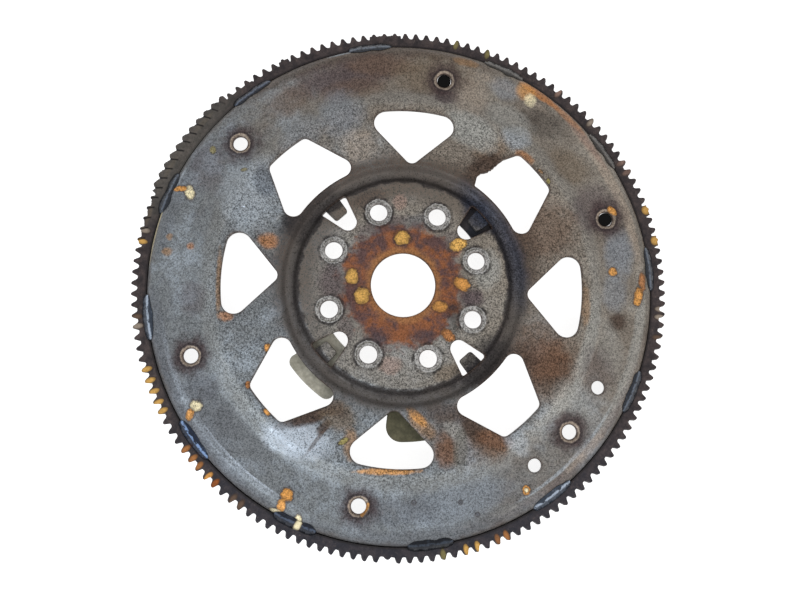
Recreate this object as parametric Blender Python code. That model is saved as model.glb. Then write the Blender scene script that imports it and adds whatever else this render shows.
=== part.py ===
"""Flexplate: a stamped steel drive plate with a welded starter ring gear.

The plate lies on the back of its ring gear with the hub face up. The origin is on the axis, level with
that back face. Angles run anticlockwise from +X, seen from above. Sizes are in metres.
"""

import math

import bmesh
import bpy
from mathutils import Matrix

MM = 0.001

# Clearance that neighbouring solids keep
SEAT_GAP = 0.3 * MM

# Ring gear
TOOTH_COUNT = 152
TOOTH_MODULE = 2.1167 * MM
ADDENDUM = 2.1 * MM
DEDENDUM = 2.6 * MM
RING_WALL = 4.75 * MM
RING_WIDTH = 10.5 * MM
FIRST_TOOTH_ANGLE = 89.0
ROOT_SHARE = 0.66
PITCH_SHARE = 0.50
CREST_SHARE = 0.22
LEAD_IN_SHARE = 0.13
LEAD_IN_DEPTH = 2.4 * MM
WORN_TOOTH = 75
WORN_TOOTH_HEIGHT = 0.55

# Crankshaft bolt holes, which set the size of the hub
BOLT_COUNT = 8
BOLT_CIRCLE_RADIUS = 46.2 * MM
BOLT_HOLE_RADIUS = 5.25 * MM
FIRST_BOLT_ANGLE = 18.45

# Stamped plate: the hub and groove follow from the bolt circle, the rest from the ring gear inwards
SHEET = 2.8 * MM
BORE_RADIUS = 19.2 * MM
BOLTS_TO_HUB_EDGE = 16.3 * MM
GROOVE_INNER_FLANK = 3.5 * MM
GROOVE_WIDTH = 3.5 * MM
GROOVE_OUTER_FLANK = 4.0 * MM
SHOULDER_RADIUS = 9.7 * MM
SHOULDER_TO_CONVERTER_CIRCLE = 12.0 * MM
CONVERTER_CIRCLE_TO_SLOPE = 8.5 * MM
WEB_SLOPE_WIDTH = 11.0 * MM
ANNULUS_ABOVE_RING = 8.2 * MM
WEB_ABOVE_ANNULUS = 4.9 * MM
HUB_BELOW_WEB = 0.6 * MM
GROOVE_DEPTH = 3.2 * MM
SKIRT_SHORT_OF_BACK = 2.0 * MM
HUB_EDGE_FILLET = 2.0 * MM

# Torque converter holes, and the two plain holes beside one of them
CONVERTER_HOLE_COUNT = 6
CONVERTER_HOLE_RADIUS = 4.4 * MM
COUNTERSINK_WIDTH = 1.5 * MM
COUNTERSINK_DEPTH = 0.9 * MM
FIRST_CONVERTER_ANGLE = 18.55
PLAIN_HOLE_RADIUS = 4.05 * MM
PLAIN_HOLE_ANGLES = (306.0, 332.4)

# Windows: four triangles that point at the hub and four trapezoids between them
WINDOW_COUNT = 4
TRIANGLE_ANGLE = 86.0
TRIANGLE_SIDE_SLOPE = 1.083
TRIANGLE_APEX_FILLET = 4.5 * MM
TRIANGLE_CORNER_FILLET = 7.5 * MM
TRAPEZOID_HALF_WIDTH = 13.9 * MM
TRAPEZOID_SIDE_SLOPE = -0.382
TRAPEZOID_INNER_FILLET = 6.0 * MM
TRAPEZOID_CORNER_FILLET = 4.0 * MM
TORN_WINDOW_HALF_WIDTH = 18.2 * MM
WINDOW_TO_GROOVE = 1.1 * MM
WINDOW_TO_SLOPE = 4.3 * MM

# Tongues, each bent down out of a punched pocket at the edge of the hub
POCKET_HALF_WIDTH = 9.5 * MM
POCKET_SIDE_SLOPE = 0.28
POCKET_APEX_FILLET = 5.3 * MM
POCKET_CORNER_FILLET = 1.3 * MM
POCKET_TO_GROOVE = 1.4 * MM
TONGUE_ROOT_HALF_WIDTH = 5.8 * MM
TONGUE_TIP_HALF_WIDTH = 4.6 * MM
TONGUE_LENGTH = 10.3 * MM
TONGUE_CORNER = 1.6 * MM
TONGUE_TIP_CHAMFER = 1.2 * MM
TONGUE_THINNING = 0.05 * MM

# Weld beads between the shoulder and the ring gear, laid by hand and so not quite evenly
BEAD_ANGLES = (4.5, 34.5, 65.0, 97.5, 127.5, 158.0, 187.0, 216.5, 245.5, 276.0, 305.5, 335.5)
BEAD_SWEEP = 10.4
BEAD_SHOULDER_START = 34.0
BEAD_RING_REACH = 2.6 * MM
BEAD_BULGE = 0.9 * MM

# Balance pads behind the groove, each reaching inwards and outwards from it
PAD_THICKNESS = 2.5 * MM
LOWER_LEFT_PAD_ANGLE = 225.0
LOWER_LEFT_PAD_SWEEP = 25.0
LOWER_LEFT_PAD_INWARDS = 15.8 * MM
LOWER_LEFT_PAD_OUTWARDS = 12.4 * MM
LOWER_LEFT_PAD_CORNER = 4.5 * MM
BOTTOM_PAD_ANGLE = 277.0
BOTTOM_PAD_SWEEP = 28.0
BOTTOM_PAD_INWARDS = 4.0 * MM
BOTTOM_PAD_OUTWARDS = 23.0 * MM
BOTTOM_PAD_CORNER = 9.0 * MM
UPPER_RIGHT_PAD_ANGLE = 41.0
UPPER_RIGHT_PAD_SWEEP = 25.0
UPPER_RIGHT_PAD_INWARDS = 14.5 * MM
UPPER_RIGHT_PAD_OUTWARDS = 2.5 * MM
UPPER_RIGHT_PAD_CORNER = 3.0 * MM

# Hardened grease that fills two of the converter holes
PLUGGED_HOLES = {"grease_plug_right": 0, "grease_plug_top": 1}
PLUG_RECESS = 1.3 * MM

# Facets
PLATE_SEGMENTS = 52
HOLE_SEGMENTS = 16
FILLET_SEGMENTS = 3
EDGE_SEGMENTS = 2
SHOULDER_SEGMENTS = 4
CUT_MARGIN = 3.0 * MM

# Sizes that follow from those above
PITCH_RADIUS = TOOTH_COUNT * TOOTH_MODULE / 2
TIP_RADIUS = PITCH_RADIUS + ADDENDUM
ROOT_RADIUS = PITCH_RADIUS - DEDENDUM
RING_BORE_RADIUS = ROOT_RADIUS - RING_WALL
SKIRT_RADIUS = RING_BORE_RADIUS - SEAT_GAP
ANNULUS_Z = RING_WIDTH + ANNULUS_ABOVE_RING
WEB_Z = ANNULUS_Z + WEB_ABOVE_ANNULUS
HUB_Z = WEB_Z - HUB_BELOW_WEB
GROOVE_Z = HUB_Z - GROOVE_DEPTH
HUB_EDGE_RADIUS = BOLT_CIRCLE_RADIUS + BOLTS_TO_HUB_EDGE
GROOVE_INNER_RADIUS = HUB_EDGE_RADIUS + GROOVE_INNER_FLANK
GROOVE_OUTER_RADIUS = GROOVE_INNER_RADIUS + GROOVE_WIDTH
WEB_INNER_RADIUS = GROOVE_OUTER_RADIUS + GROOVE_OUTER_FLANK
CONVERTER_CIRCLE_RADIUS = SKIRT_RADIUS - SHOULDER_RADIUS - SHOULDER_TO_CONVERTER_CIRCLE
ANNULUS_INNER_RADIUS = CONVERTER_CIRCLE_RADIUS - CONVERTER_CIRCLE_TO_SLOPE
WEB_OUTER_RADIUS = ANNULUS_INNER_RADIUS - WEB_SLOPE_WIDTH
WINDOW_PITCH = 360.0 / WINDOW_COUNT
TRAPEZOID_ANGLE = TRIANGLE_ANGLE - WINDOW_PITCH / 2
WINDOW_INNER_RADIUS = WEB_INNER_RADIUS + WINDOW_TO_GROOVE
WINDOW_OUTER_RADIUS = WEB_OUTER_RADIUS - WINDOW_TO_SLOPE
POCKET_OUTER_RADIUS = GROOVE_INNER_RADIUS - POCKET_TO_GROOVE
TONGUE_TIP_RADIUS = GROOVE_INNER_RADIUS - TONGUE_LENGTH
PAD_TOP_Z = GROOVE_Z - SHEET - SEAT_GAP


def polar(radius, degrees):
    """A point at this radius and angle in the plan."""
    angle = math.radians(degrees)
    return radius * math.cos(angle), radius * math.sin(angle)


def arc(centre, radius, start, end, segments):
    """Points along an arc between two angles in degrees, both ends included."""
    points = []
    for step in range(segments + 1):
        x, y = polar(radius, start + (end - start) * step / segments)
        points.append((centre[0] + x, centre[1] + y))
    return points


def filleted(corners):
    """A path through (x, y, fillet, segments) corners, with each filleted corner turned into an arc."""
    path = []
    for index, (x, y, fillet, segments) in enumerate(corners):
        if not fillet or index in (0, len(corners) - 1):
            path.append((x, y))
            continue
        before = math.atan2(y - corners[index - 1][1], x - corners[index - 1][0])
        after = math.atan2(corners[index + 1][1] - y, corners[index + 1][0] - x)
        turn = (after - before + math.pi) % (2 * math.pi) - math.pi
        side = math.copysign(1.0, turn)
        reach = fillet * math.tan(abs(turn) / 2)
        centre_x = x - reach * math.cos(before) - side * fillet * math.sin(before)
        centre_y = y - reach * math.sin(before) + side * fillet * math.cos(before)
        start = math.degrees(before) - side * 90.0
        path += arc((centre_x, centre_y), fillet, start, start + math.degrees(turn), segments)
    return path


def sheet_section(front):
    """The closed section of a folded sheet whose front face follows these corners."""
    back = []
    for index, (x, y, fillet, segments) in enumerate(front):
        before = front[max(index - 1, 0)]
        after = front[min(index + 1, len(front) - 1)]
        heading_in = math.atan2(y - before[1], x - before[0]) if index else None
        heading_out = math.atan2(after[1] - y, after[0] - x) if index < len(front) - 1 else heading_in
        heading_in = heading_out if heading_in is None else heading_in
        turn = heading_out - heading_in
        middle = heading_in + turn / 2
        mitre = SHEET / math.cos(turn / 2)
        inside = fillet - SHEET if turn < 0 else fillet + SHEET
        kept = max(inside, 0.0) if fillet else 0.0
        back.append((x + mitre * math.sin(middle), y - mitre * math.cos(middle), kept, segments))
    return filleted(front) + filleted(back)[::-1]


def new_object(name, mesh_builder, material, smooth=True):
    """A mesh object made from a filled bmesh, with its normals facing out."""
    bmesh.ops.recalc_face_normals(mesh_builder, faces=mesh_builder.faces)
    mesh = bpy.data.meshes.new(name)
    mesh_builder.to_mesh(mesh)
    mesh_builder.free()
    if smooth:
        mesh.shade_smooth()
        mesh.set_sharp_from_angle(angle=math.radians(35))
    obj = bpy.data.objects.new(name, mesh)
    bpy.context.scene.collection.objects.link(obj)
    if material:
        mesh.materials.append(material)
    return obj


def make_material(name, colour, roughness, metallic):
    """A Principled material of one colour."""
    material = bpy.data.materials.new(name)
    material.use_nodes = True
    shader = material.node_tree.nodes["Principled BSDF"]
    shader.inputs["Base Color"].default_value = (*colour, 1.0)
    shader.inputs["Roughness"].default_value = roughness
    shader.inputs["Metallic"].default_value = metallic
    material.diffuse_color = (*colour, 1.0)
    return material


def revolve(builder, section, segments):
    """Turns a closed (radius, z) section round the Z axis."""
    rings = []
    for step in range(segments):
        spin = Matrix.Rotation(2 * math.pi * step / segments, 4, "Z")
        rings.append([builder.verts.new(spin @ Matrix.Translation((r, 0.0, z)).translation) for r, z in section])
    for step in range(segments):
        here = rings[step]
        there = rings[(step + 1) % segments]
        for index in range(len(section)):
            after = (index + 1) % len(section)
            builder.faces.new((here[index], there[index], there[after], here[after]))


def extrude_outline(builder, outline, bottom, top, turn=0.0):
    """Fills a plan outline, makes it a prism between two heights and turns it round the Z axis."""
    spin = Matrix.Rotation(math.radians(turn), 4, "Z")
    low = [builder.verts.new(spin @ Matrix.Translation((x, y, bottom)).translation) for x, y in outline]
    high = [builder.verts.new(spin @ Matrix.Translation((x, y, top)).translation) for x, y in outline]
    builder.faces.new(low[::-1])
    builder.faces.new(high)
    for index in range(len(outline)):
        after = (index + 1) % len(outline)
        builder.faces.new((low[index], low[after], high[after], high[index]))


def add_turned(builder, angle, circle_radius, profile):
    """A turned cutter or plug centred on the given circle: its (radius, z) profile runs upwards."""
    x, y = polar(circle_radius, angle)
    rings = []
    for radius, z in profile:
        outline = arc((x, y), radius, 0.0, 360.0, HOLE_SEGMENTS)[:-1]
        rings.append([builder.verts.new((u, v, z)) for u, v in outline])
    builder.faces.new(rings[0][::-1])
    builder.faces.new(rings[-1])
    for low, high in zip(rings, rings[1:]):
        for index in range(HOLE_SEGMENTS):
            after = (index + 1) % HOLE_SEGMENTS
            builder.faces.new((low[index], low[after], high[after], high[index]))


def corner_centre(half_width, slope, outer_radius, circle_radius, fillet):
    """The centre of a fillet at circle_radius from the axis that touches the window's straight side.

    The side passes half_width from the window's centre line where its outer edge crosses that line.
    """
    side = half_width - fillet * math.hypot(1.0, slope) - slope * outer_radius
    a = 1.0 + slope * slope
    b = 2.0 * slope * side
    c = side * side - circle_radius * circle_radius
    u = (-b + math.sqrt(b * b - 4.0 * a * c)) / (2.0 * a)
    return u, side + slope * u


def window_outline(half_width, slope, outer_radius, outer_fillet, inner_fillet, inner_radius=None):
    """A window symmetrical about +X: a curved outer edge, straight sides, and a curved edge or an apex inside."""
    side_normal = math.degrees(math.atan2(1.0, -slope))
    outer = corner_centre(half_width, slope, outer_radius, outer_radius - outer_fillet, outer_fillet)
    outer_angle = math.degrees(math.atan2(outer[1], outer[0]))
    upper = []
    if inner_radius is None:
        apex_u = outer_radius - (half_width - inner_fillet * math.hypot(1.0, slope)) / slope
        upper += arc((apex_u, 0.0), inner_fillet, 180.0, side_normal, 2 * FILLET_SEGMENTS)[1:]
    else:
        inner = corner_centre(half_width, slope, outer_radius, inner_radius + inner_fillet, inner_fillet)
        inner_angle = math.degrees(math.atan2(inner[1], inner[0]))
        upper += arc((0.0, 0.0), inner_radius, 0.0, inner_angle, EDGE_SEGMENTS)[1:-1]
        upper += arc(inner, inner_fillet, inner_angle + 180.0, side_normal, FILLET_SEGMENTS)
    upper += arc(outer, outer_fillet, side_normal, outer_angle, FILLET_SEGMENTS)
    upper += arc((0.0, 0.0), outer_radius, outer_angle, 0.0, EDGE_SEGMENTS)[1:-1]
    lower = [(x, -y) for x, y in reversed(upper)]
    inner_point = (inner_radius, 0.0) if inner_radius else (apex_u - inner_fillet, 0.0)
    return [inner_point] + upper + [(outer_radius, 0.0)] + lower


def clipped(outline, limit):
    """The outline without what lies further than this from its centre line on the anticlockwise side."""
    kept = []
    for (x0, y0), (x1, y1) in zip(outline, outline[1:] + outline[:1]):
        if y0 <= limit:
            kept.append((x0, y0))
        if (y0 - limit) * (y1 - limit) < 0:
            share = (limit - y0) / (y1 - y0)
            kept.append((x0 + share * (x1 - x0), limit))
    return kept


def sector_outline(sweep, inner_radius, outer_radius, fillet):
    """A part of a ring symmetrical about +X, with rounded outer corners."""
    half = sweep / 2
    bend = math.degrees(math.asin(fillet / (outer_radius - fillet)))
    centre = polar(outer_radius - fillet, half - bend)
    upper = arc((0.0, 0.0), inner_radius, 0.0, half, FILLET_SEGMENTS)
    upper += arc(centre, fillet, half + 90.0, half - bend, FILLET_SEGMENTS)
    upper += arc((0.0, 0.0), outer_radius, half - bend, 0.0, FILLET_SEGMENTS)[1:]
    return upper + [(x, -y) for x, y in reversed(upper[1:-1])]


def plate_section():
    """The plate's section from the bore to the end of the skirt."""
    skirt_end = SKIRT_SHORT_OF_BACK
    return sheet_section([
        (BORE_RADIUS, HUB_Z, 0.0, 0),
        (HUB_EDGE_RADIUS, HUB_Z, HUB_EDGE_FILLET, 2),
        (GROOVE_INNER_RADIUS, GROOVE_Z, 0.0, 0),
        (GROOVE_OUTER_RADIUS, GROOVE_Z, 0.0, 0),
        (WEB_INNER_RADIUS, WEB_Z, 0.0, 0),
        (WEB_OUTER_RADIUS, WEB_Z, 0.0, 0),
        (ANNULUS_INNER_RADIUS, ANNULUS_Z, 0.0, 0),
        (SKIRT_RADIUS, ANNULUS_Z, SHOULDER_RADIUS, SHOULDER_SEGMENTS),
        (SKIRT_RADIUS, skirt_end, 0.0, 0),
    ])


def cut_windows(builder):
    """Cutters for the windows and the pockets. A torn lip closes one corner of the first trapezoid."""
    low = ANNULUS_Z - SHEET - CUT_MARGIN
    high = WEB_Z + CUT_MARGIN
    apex_centre = WINDOW_INNER_RADIUS + TRIANGLE_APEX_FILLET
    triangle_half_width = TRIANGLE_SIDE_SLOPE * (WINDOW_OUTER_RADIUS - apex_centre)
    triangle_half_width += TRIANGLE_APEX_FILLET * math.hypot(1.0, TRIANGLE_SIDE_SLOPE)
    triangle = window_outline(
        triangle_half_width, TRIANGLE_SIDE_SLOPE, WINDOW_OUTER_RADIUS,
        TRIANGLE_CORNER_FILLET, TRIANGLE_APEX_FILLET,
    )
    trapezoid = window_outline(
        TRAPEZOID_HALF_WIDTH, TRAPEZOID_SIDE_SLOPE, WINDOW_OUTER_RADIUS,
        TRAPEZOID_CORNER_FILLET, TRAPEZOID_INNER_FILLET, WINDOW_INNER_RADIUS,
    )
    pocket = window_outline(
        POCKET_HALF_WIDTH, POCKET_SIDE_SLOPE, POCKET_OUTER_RADIUS,
        POCKET_CORNER_FILLET, POCKET_APEX_FILLET,
    )
    for turn in range(WINDOW_COUNT):
        extrude_outline(builder, triangle, low, high, TRIANGLE_ANGLE + turn * WINDOW_PITCH)
        opening = trapezoid if turn else clipped(trapezoid, TORN_WINDOW_HALF_WIDTH)
        extrude_outline(builder, opening, low, high, TRAPEZOID_ANGLE + turn * WINDOW_PITCH)
        extrude_outline(builder, pocket, low, high, TRAPEZOID_ANGLE + turn * WINDOW_PITCH)


def converter_angles():
    """The angles of the torque converter holes."""
    return [FIRST_CONVERTER_ANGLE + 360.0 / CONVERTER_HOLE_COUNT * k for k in range(CONVERTER_HOLE_COUNT)]


def cut_holes(builder):
    """Cutters for the round holes."""
    low = ANNULUS_Z - SHEET - CUT_MARGIN
    high = WEB_Z + CUT_MARGIN
    bolt_hole = ((BOLT_HOLE_RADIUS, low), (BOLT_HOLE_RADIUS, high))
    plain_hole = ((PLAIN_HOLE_RADIUS, low), (PLAIN_HOLE_RADIUS, high))
    rim = CONVERTER_HOLE_RADIUS + COUNTERSINK_WIDTH * (1.0 + CUT_MARGIN / COUNTERSINK_DEPTH)
    converter_hole = (
        (CONVERTER_HOLE_RADIUS, low),
        (CONVERTER_HOLE_RADIUS, ANNULUS_Z - COUNTERSINK_DEPTH),
        (rim, ANNULUS_Z + CUT_MARGIN),
    )
    for k in range(BOLT_COUNT):
        add_turned(builder, FIRST_BOLT_ANGLE + 360.0 / BOLT_COUNT * k, BOLT_CIRCLE_RADIUS, bolt_hole)
    for angle in converter_angles():
        add_turned(builder, angle, CONVERTER_CIRCLE_RADIUS, converter_hole)
    for angle in PLAIN_HOLE_ANGLES:
        add_turned(builder, angle, CONVERTER_CIRCLE_RADIUS, plain_hole)


def tongue_stations():
    """(radius, half width, drop of the top face) along a tongue, from its root to its tip."""
    root = (GROOVE_INNER_RADIUS + GROOVE_OUTER_RADIUS) / 2
    taper = (TONGUE_ROOT_HALF_WIDTH - TONGUE_TIP_HALF_WIDTH) / (root - TONGUE_TIP_RADIUS)
    chamfer_start = TONGUE_TIP_RADIUS + max(TONGUE_TIP_CHAMFER, TONGUE_CORNER)
    shoulder_width = TONGUE_TIP_HALF_WIDTH + taper * (chamfer_start - TONGUE_TIP_RADIUS)
    return [
        (root, TONGUE_ROOT_HALF_WIDTH, 0.0),
        (chamfer_start, shoulder_width, 0.0),
        (TONGUE_TIP_RADIUS, TONGUE_TIP_HALF_WIDTH - TONGUE_CORNER, TONGUE_TIP_CHAMFER),
    ]


def add_tongue(builder, angle):
    """One tongue: a tapered strip level with the groove's floor, with a bevelled, round-cornered tip."""
    spin = Matrix.Rotation(math.radians(angle), 4, "Z")
    top = GROOVE_Z - TONGUE_THINNING
    bottom = GROOVE_Z - SHEET + TONGUE_THINNING
    rows = []
    for radius, half_width, drop in tongue_stations():
        corners = ((-half_width, bottom), (half_width, bottom), (half_width, top - drop), (-half_width, top - drop))
        rows.append([builder.verts.new(spin @ Matrix.Translation((radius, y, z)).translation) for y, z in corners])
    builder.faces.new(rows[0])
    builder.faces.new(rows[-1][::-1])
    for here, there in zip(rows, rows[1:]):
        for index in range(4):
            after = (index + 1) % 4
            builder.faces.new((here[index], here[after], there[after], there[index]))


def helper_object(name, builder):
    """A solid that only shapes another one."""
    helper = new_object(name, builder, None, smooth=False)
    helper.hide_render = True
    helper.display_type = "WIRE"
    return helper


def add_boolean(obj, operation, helper):
    """Combines a helper solid with an object."""
    modifier = obj.modifiers.new(helper.name, "BOOLEAN")
    modifier.operation = operation
    modifier.solver = "EXACT"
    modifier.object = helper


def make_plate(material):
    """The stamped plate with its windows, holes and tongues."""
    builder = bmesh.new()
    revolve(builder, plate_section(), PLATE_SEGMENTS)
    plate = new_object("stamped_plate", builder, material)
    for name, cut in (("window_cutter", cut_windows), ("hole_cutter", cut_holes)):
        cutters = bmesh.new()
        cut(cutters)
        add_boolean(plate, "DIFFERENCE", helper_object(name, cutters))
    tongues = bmesh.new()
    for turn in range(WINDOW_COUNT):
        add_tongue(tongues, TRAPEZOID_ANGLE + turn * WINDOW_PITCH)
    add_boolean(plate, "UNION", helper_object("tongue_strips", tongues))
    return plate


def tooth_points(height_share):
    """(radius, share of the pitch from the tooth's centre) of a flank, from root to crest."""
    crest = ROOT_RADIUS + (TIP_RADIUS - ROOT_RADIUS) * height_share
    middle = ROOT_RADIUS + (PITCH_RADIUS - ROOT_RADIUS) * height_share
    return [(ROOT_RADIUS, ROOT_SHARE / 2), (middle, PITCH_SHARE / 2), (crest, CREST_SHARE / 2)]


def make_ring_gear(material):
    """The starter ring gear, whose teeth have a lead-in on the clockwise side of their front end."""
    builder = bmesh.new()
    pitch = 360.0 / TOOTH_COUNT
    columns = []
    for tooth in range(TOOTH_COUNT):
        centre = FIRST_TOOTH_ANGLE + tooth * pitch
        height_share = WORN_TOOTH_HEIGHT if tooth == WORN_TOOTH else 1.0
        columns.append(tooth_columns(builder, centre, pitch, tooth_points(height_share)))
    for tooth, here in enumerate(columns):
        join_tooth(builder, here, columns[(tooth + 1) % TOOTH_COUNT])
    return new_object("ring_gear", builder, material, smooth=False)


def tooth_columns(builder, centre, pitch, flank):
    """The vertices of one tooth: each outline point has a back, a lead-in and a front vertex."""
    def vertex(radius, share, z):
        x, y = polar(radius, centre + share * pitch)
        return builder.verts.new((x, y, z))

    lead_in_z = RING_WIDTH - LEAD_IN_DEPTH
    root_radius, root_share = flank[0]
    clockwise = [[vertex(root_radius, -root_share, 0.0), vertex(root_radius, -root_share, RING_WIDTH)]]
    for radius, share in flank[1:]:
        front_share = min(LEAD_IN_SHARE - share, share - CREST_SHARE / 4)
        clockwise.append([vertex(radius, -share, 0.0), vertex(radius, -share, lead_in_z),
                          vertex(radius, front_share, RING_WIDTH)])
    anticlockwise = [[vertex(radius, share, 0.0), vertex(radius, share, RING_WIDTH)] for radius, share in flank]
    bore = [vertex(RING_BORE_RADIUS, -0.5, 0.0), vertex(RING_BORE_RADIUS, -0.5, RING_WIDTH)]
    return {"clockwise": clockwise, "anticlockwise": anticlockwise, "bore": bore}


def join_tooth(builder, here, after):
    """The faces of one tooth, up to the start of the next one."""
    clockwise = here["clockwise"]
    anticlockwise = here["anticlockwise"]
    root = clockwise[0]
    next_root = after["clockwise"][0]
    builder.faces.new((root[0], clockwise[1][0], clockwise[1][1], root[1]))
    builder.faces.new((root[1], clockwise[1][1], clockwise[1][2]))
    for low, high in zip(clockwise[1:], clockwise[2:]):
        builder.faces.new((low[0], high[0], high[1], low[1]))
        builder.faces.new((low[1], high[1], high[2], low[2]))
    left = clockwise[-1]
    right = anticlockwise[-1]
    builder.faces.new((left[0], right[0], right[1], left[2], left[1]))
    for high, low in zip(anticlockwise[::-1], anticlockwise[-2::-1]):
        builder.faces.new((high[0], low[0], low[1], high[1]))
    tooth_root = anticlockwise[0]
    builder.faces.new((tooth_root[0], next_root[0], next_root[1], tooth_root[1]))
    bore = here["bore"]
    next_bore = after["bore"]
    builder.faces.new((bore[0], next_bore[0], next_bore[1], bore[1]))
    fronts = [column[-1] for column in clockwise] + [column[-1] for column in anticlockwise[::-1]]
    backs = [column[0] for column in clockwise] + [column[0] for column in anticlockwise[::-1]]
    builder.faces.new(fronts)
    builder.faces.new(backs[::-1])
    builder.faces.new((bore[1], root[1], tooth_root[1], next_root[1], next_bore[1]))
    builder.faces.new((bore[0], root[0], tooth_root[0], next_root[0], next_bore[0]))


def bead_section(size):
    """A weld bead's (radius, z) section, seated on the shoulder and on the ring gear's front face."""
    shoulder_r = SKIRT_RADIUS - SHOULDER_RADIUS
    shoulder_z = ANNULUS_Z - SHOULDER_RADIUS
    seat = SHOULDER_RADIUS + SEAT_GAP
    floor = RING_WIDTH + SEAT_GAP
    corner = math.degrees(math.acos((floor - shoulder_z) / seat))
    start = corner + (BEAD_SHOULDER_START - corner) * size
    under = arc((shoulder_r, shoulder_z), seat, 90.0 - start, 90.0 - corner, 2)
    toe = (RING_BORE_RADIUS + BEAD_RING_REACH * size, floor)
    heel = under[0]
    top = []
    for step in (1, 2):
        t = step / 3
        bulge = BEAD_BULGE * size * 4.0 * t * (1.0 - t)
        top.append((toe[0] + (heel[0] - toe[0]) * t + bulge, toe[1] + (heel[1] - toe[1]) * t + bulge))
    return under + [toe] + top


def make_bead(name, centre, material):
    """One weld bead, thinner at its ends."""
    builder = bmesh.new()
    rows = []
    for share, size in ((-0.5, 0.35), (-0.42, 0.9), (0.0, 1.0), (0.42, 0.9), (0.5, 0.35)):
        spin = Matrix.Rotation(math.radians(centre + BEAD_SWEEP * share), 4, "Z")
        section = bead_section(size)
        rows.append([builder.verts.new(spin @ Matrix.Translation((r, 0.0, z)).translation) for r, z in section])
    builder.faces.new(rows[0])
    builder.faces.new(rows[-1][::-1])
    for here, there in zip(rows, rows[1:]):
        for index in range(len(here)):
            after = (index + 1) % len(here)
            builder.faces.new((here[index], here[after], there[after], there[index]))
    return new_object(name, builder, material)


def make_pad(name, centre, sweep, inwards, outwards, corner, material):
    """One balance pad, flat against the back of the groove."""
    builder = bmesh.new()
    outline = sector_outline(sweep, GROOVE_INNER_RADIUS - inwards, GROOVE_OUTER_RADIUS + outwards, corner)
    extrude_outline(builder, outline, PAD_TOP_Z - PAD_THICKNESS, PAD_TOP_Z, centre)
    return new_object(name, builder, material, smooth=False)


def make_pads(material):
    """The three balance pads."""
    make_pad(
        "balance_pad_lower_left", LOWER_LEFT_PAD_ANGLE, LOWER_LEFT_PAD_SWEEP,
        LOWER_LEFT_PAD_INWARDS, LOWER_LEFT_PAD_OUTWARDS, LOWER_LEFT_PAD_CORNER, material,
    )
    make_pad(
        "balance_pad_bottom", BOTTOM_PAD_ANGLE, BOTTOM_PAD_SWEEP,
        BOTTOM_PAD_INWARDS, BOTTOM_PAD_OUTWARDS, BOTTOM_PAD_CORNER, material,
    )
    make_pad(
        "balance_pad_upper_right", UPPER_RIGHT_PAD_ANGLE, UPPER_RIGHT_PAD_SWEEP,
        UPPER_RIGHT_PAD_INWARDS, UPPER_RIGHT_PAD_OUTWARDS, UPPER_RIGHT_PAD_CORNER, material,
    )


def make_plug(name, material):
    """Hardened grease in one torque converter hole, flush with the back of the plate."""
    builder = bmesh.new()
    radius = CONVERTER_HOLE_RADIUS - SEAT_GAP
    angle = converter_angles()[PLUGGED_HOLES[name]]
    profile = ((radius, ANNULUS_Z - SHEET), (radius, ANNULUS_Z - PLUG_RECESS))
    add_turned(builder, angle, CONVERTER_CIRCLE_RADIUS, profile)
    return new_object(name, builder, material)


def clear_scene():
    """Removes what the file opened with."""
    for obj in list(bpy.data.objects):
        bpy.data.objects.remove(obj, do_unlink=True)


def main():
    """Builds the flexplate."""
    clear_scene()
    plate_steel = make_material("plate_steel", (0.23, 0.23, 0.23), 0.55, 0.6)
    gear_steel = make_material("gear_steel", (0.06, 0.05, 0.045), 0.6, 0.5)
    weld_steel = make_material("weld_steel", (0.07, 0.08, 0.10), 0.4, 0.7)
    pad_steel = make_material("pad_steel", (0.28, 0.26, 0.20), 0.65, 0.3)
    grease = make_material("old_grease", (0.008, 0.008, 0.008), 0.8, 0.0)
    make_plate(plate_steel)
    make_ring_gear(gear_steel)
    for number, angle in enumerate(BEAD_ANGLES, start=1):
        make_bead(f"weld_bead_{number:02d}", angle, weld_steel)
    make_pads(pad_steel)
    for name in PLUGGED_HOLES:
        make_plug(name, grease)


main()
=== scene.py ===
"""Looks of the flexplate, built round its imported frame.

Lengths are in millimetres until a mesh is made. Angles are in degrees, anticlockwise from +X, seen from above.
"""

import math

import bpy
import numpy as np
from mathutils import Matrix, Vector, noise
from mathutils.geometry import delaunay_2d_cdt

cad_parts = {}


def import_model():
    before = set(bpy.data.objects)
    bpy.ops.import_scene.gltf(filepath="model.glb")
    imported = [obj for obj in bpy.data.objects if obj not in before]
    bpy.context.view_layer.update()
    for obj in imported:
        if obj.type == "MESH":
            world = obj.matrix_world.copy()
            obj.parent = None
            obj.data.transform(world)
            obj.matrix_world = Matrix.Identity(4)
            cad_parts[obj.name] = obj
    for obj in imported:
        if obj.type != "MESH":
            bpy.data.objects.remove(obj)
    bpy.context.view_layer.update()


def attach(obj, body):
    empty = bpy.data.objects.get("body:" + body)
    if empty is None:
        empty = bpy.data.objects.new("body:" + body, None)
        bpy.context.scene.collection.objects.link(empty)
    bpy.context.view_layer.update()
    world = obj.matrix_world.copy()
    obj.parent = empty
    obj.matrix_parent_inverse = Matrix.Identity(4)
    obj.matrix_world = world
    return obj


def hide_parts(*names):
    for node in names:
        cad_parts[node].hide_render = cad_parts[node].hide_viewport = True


MM = 0.001
SEED = 7

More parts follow.
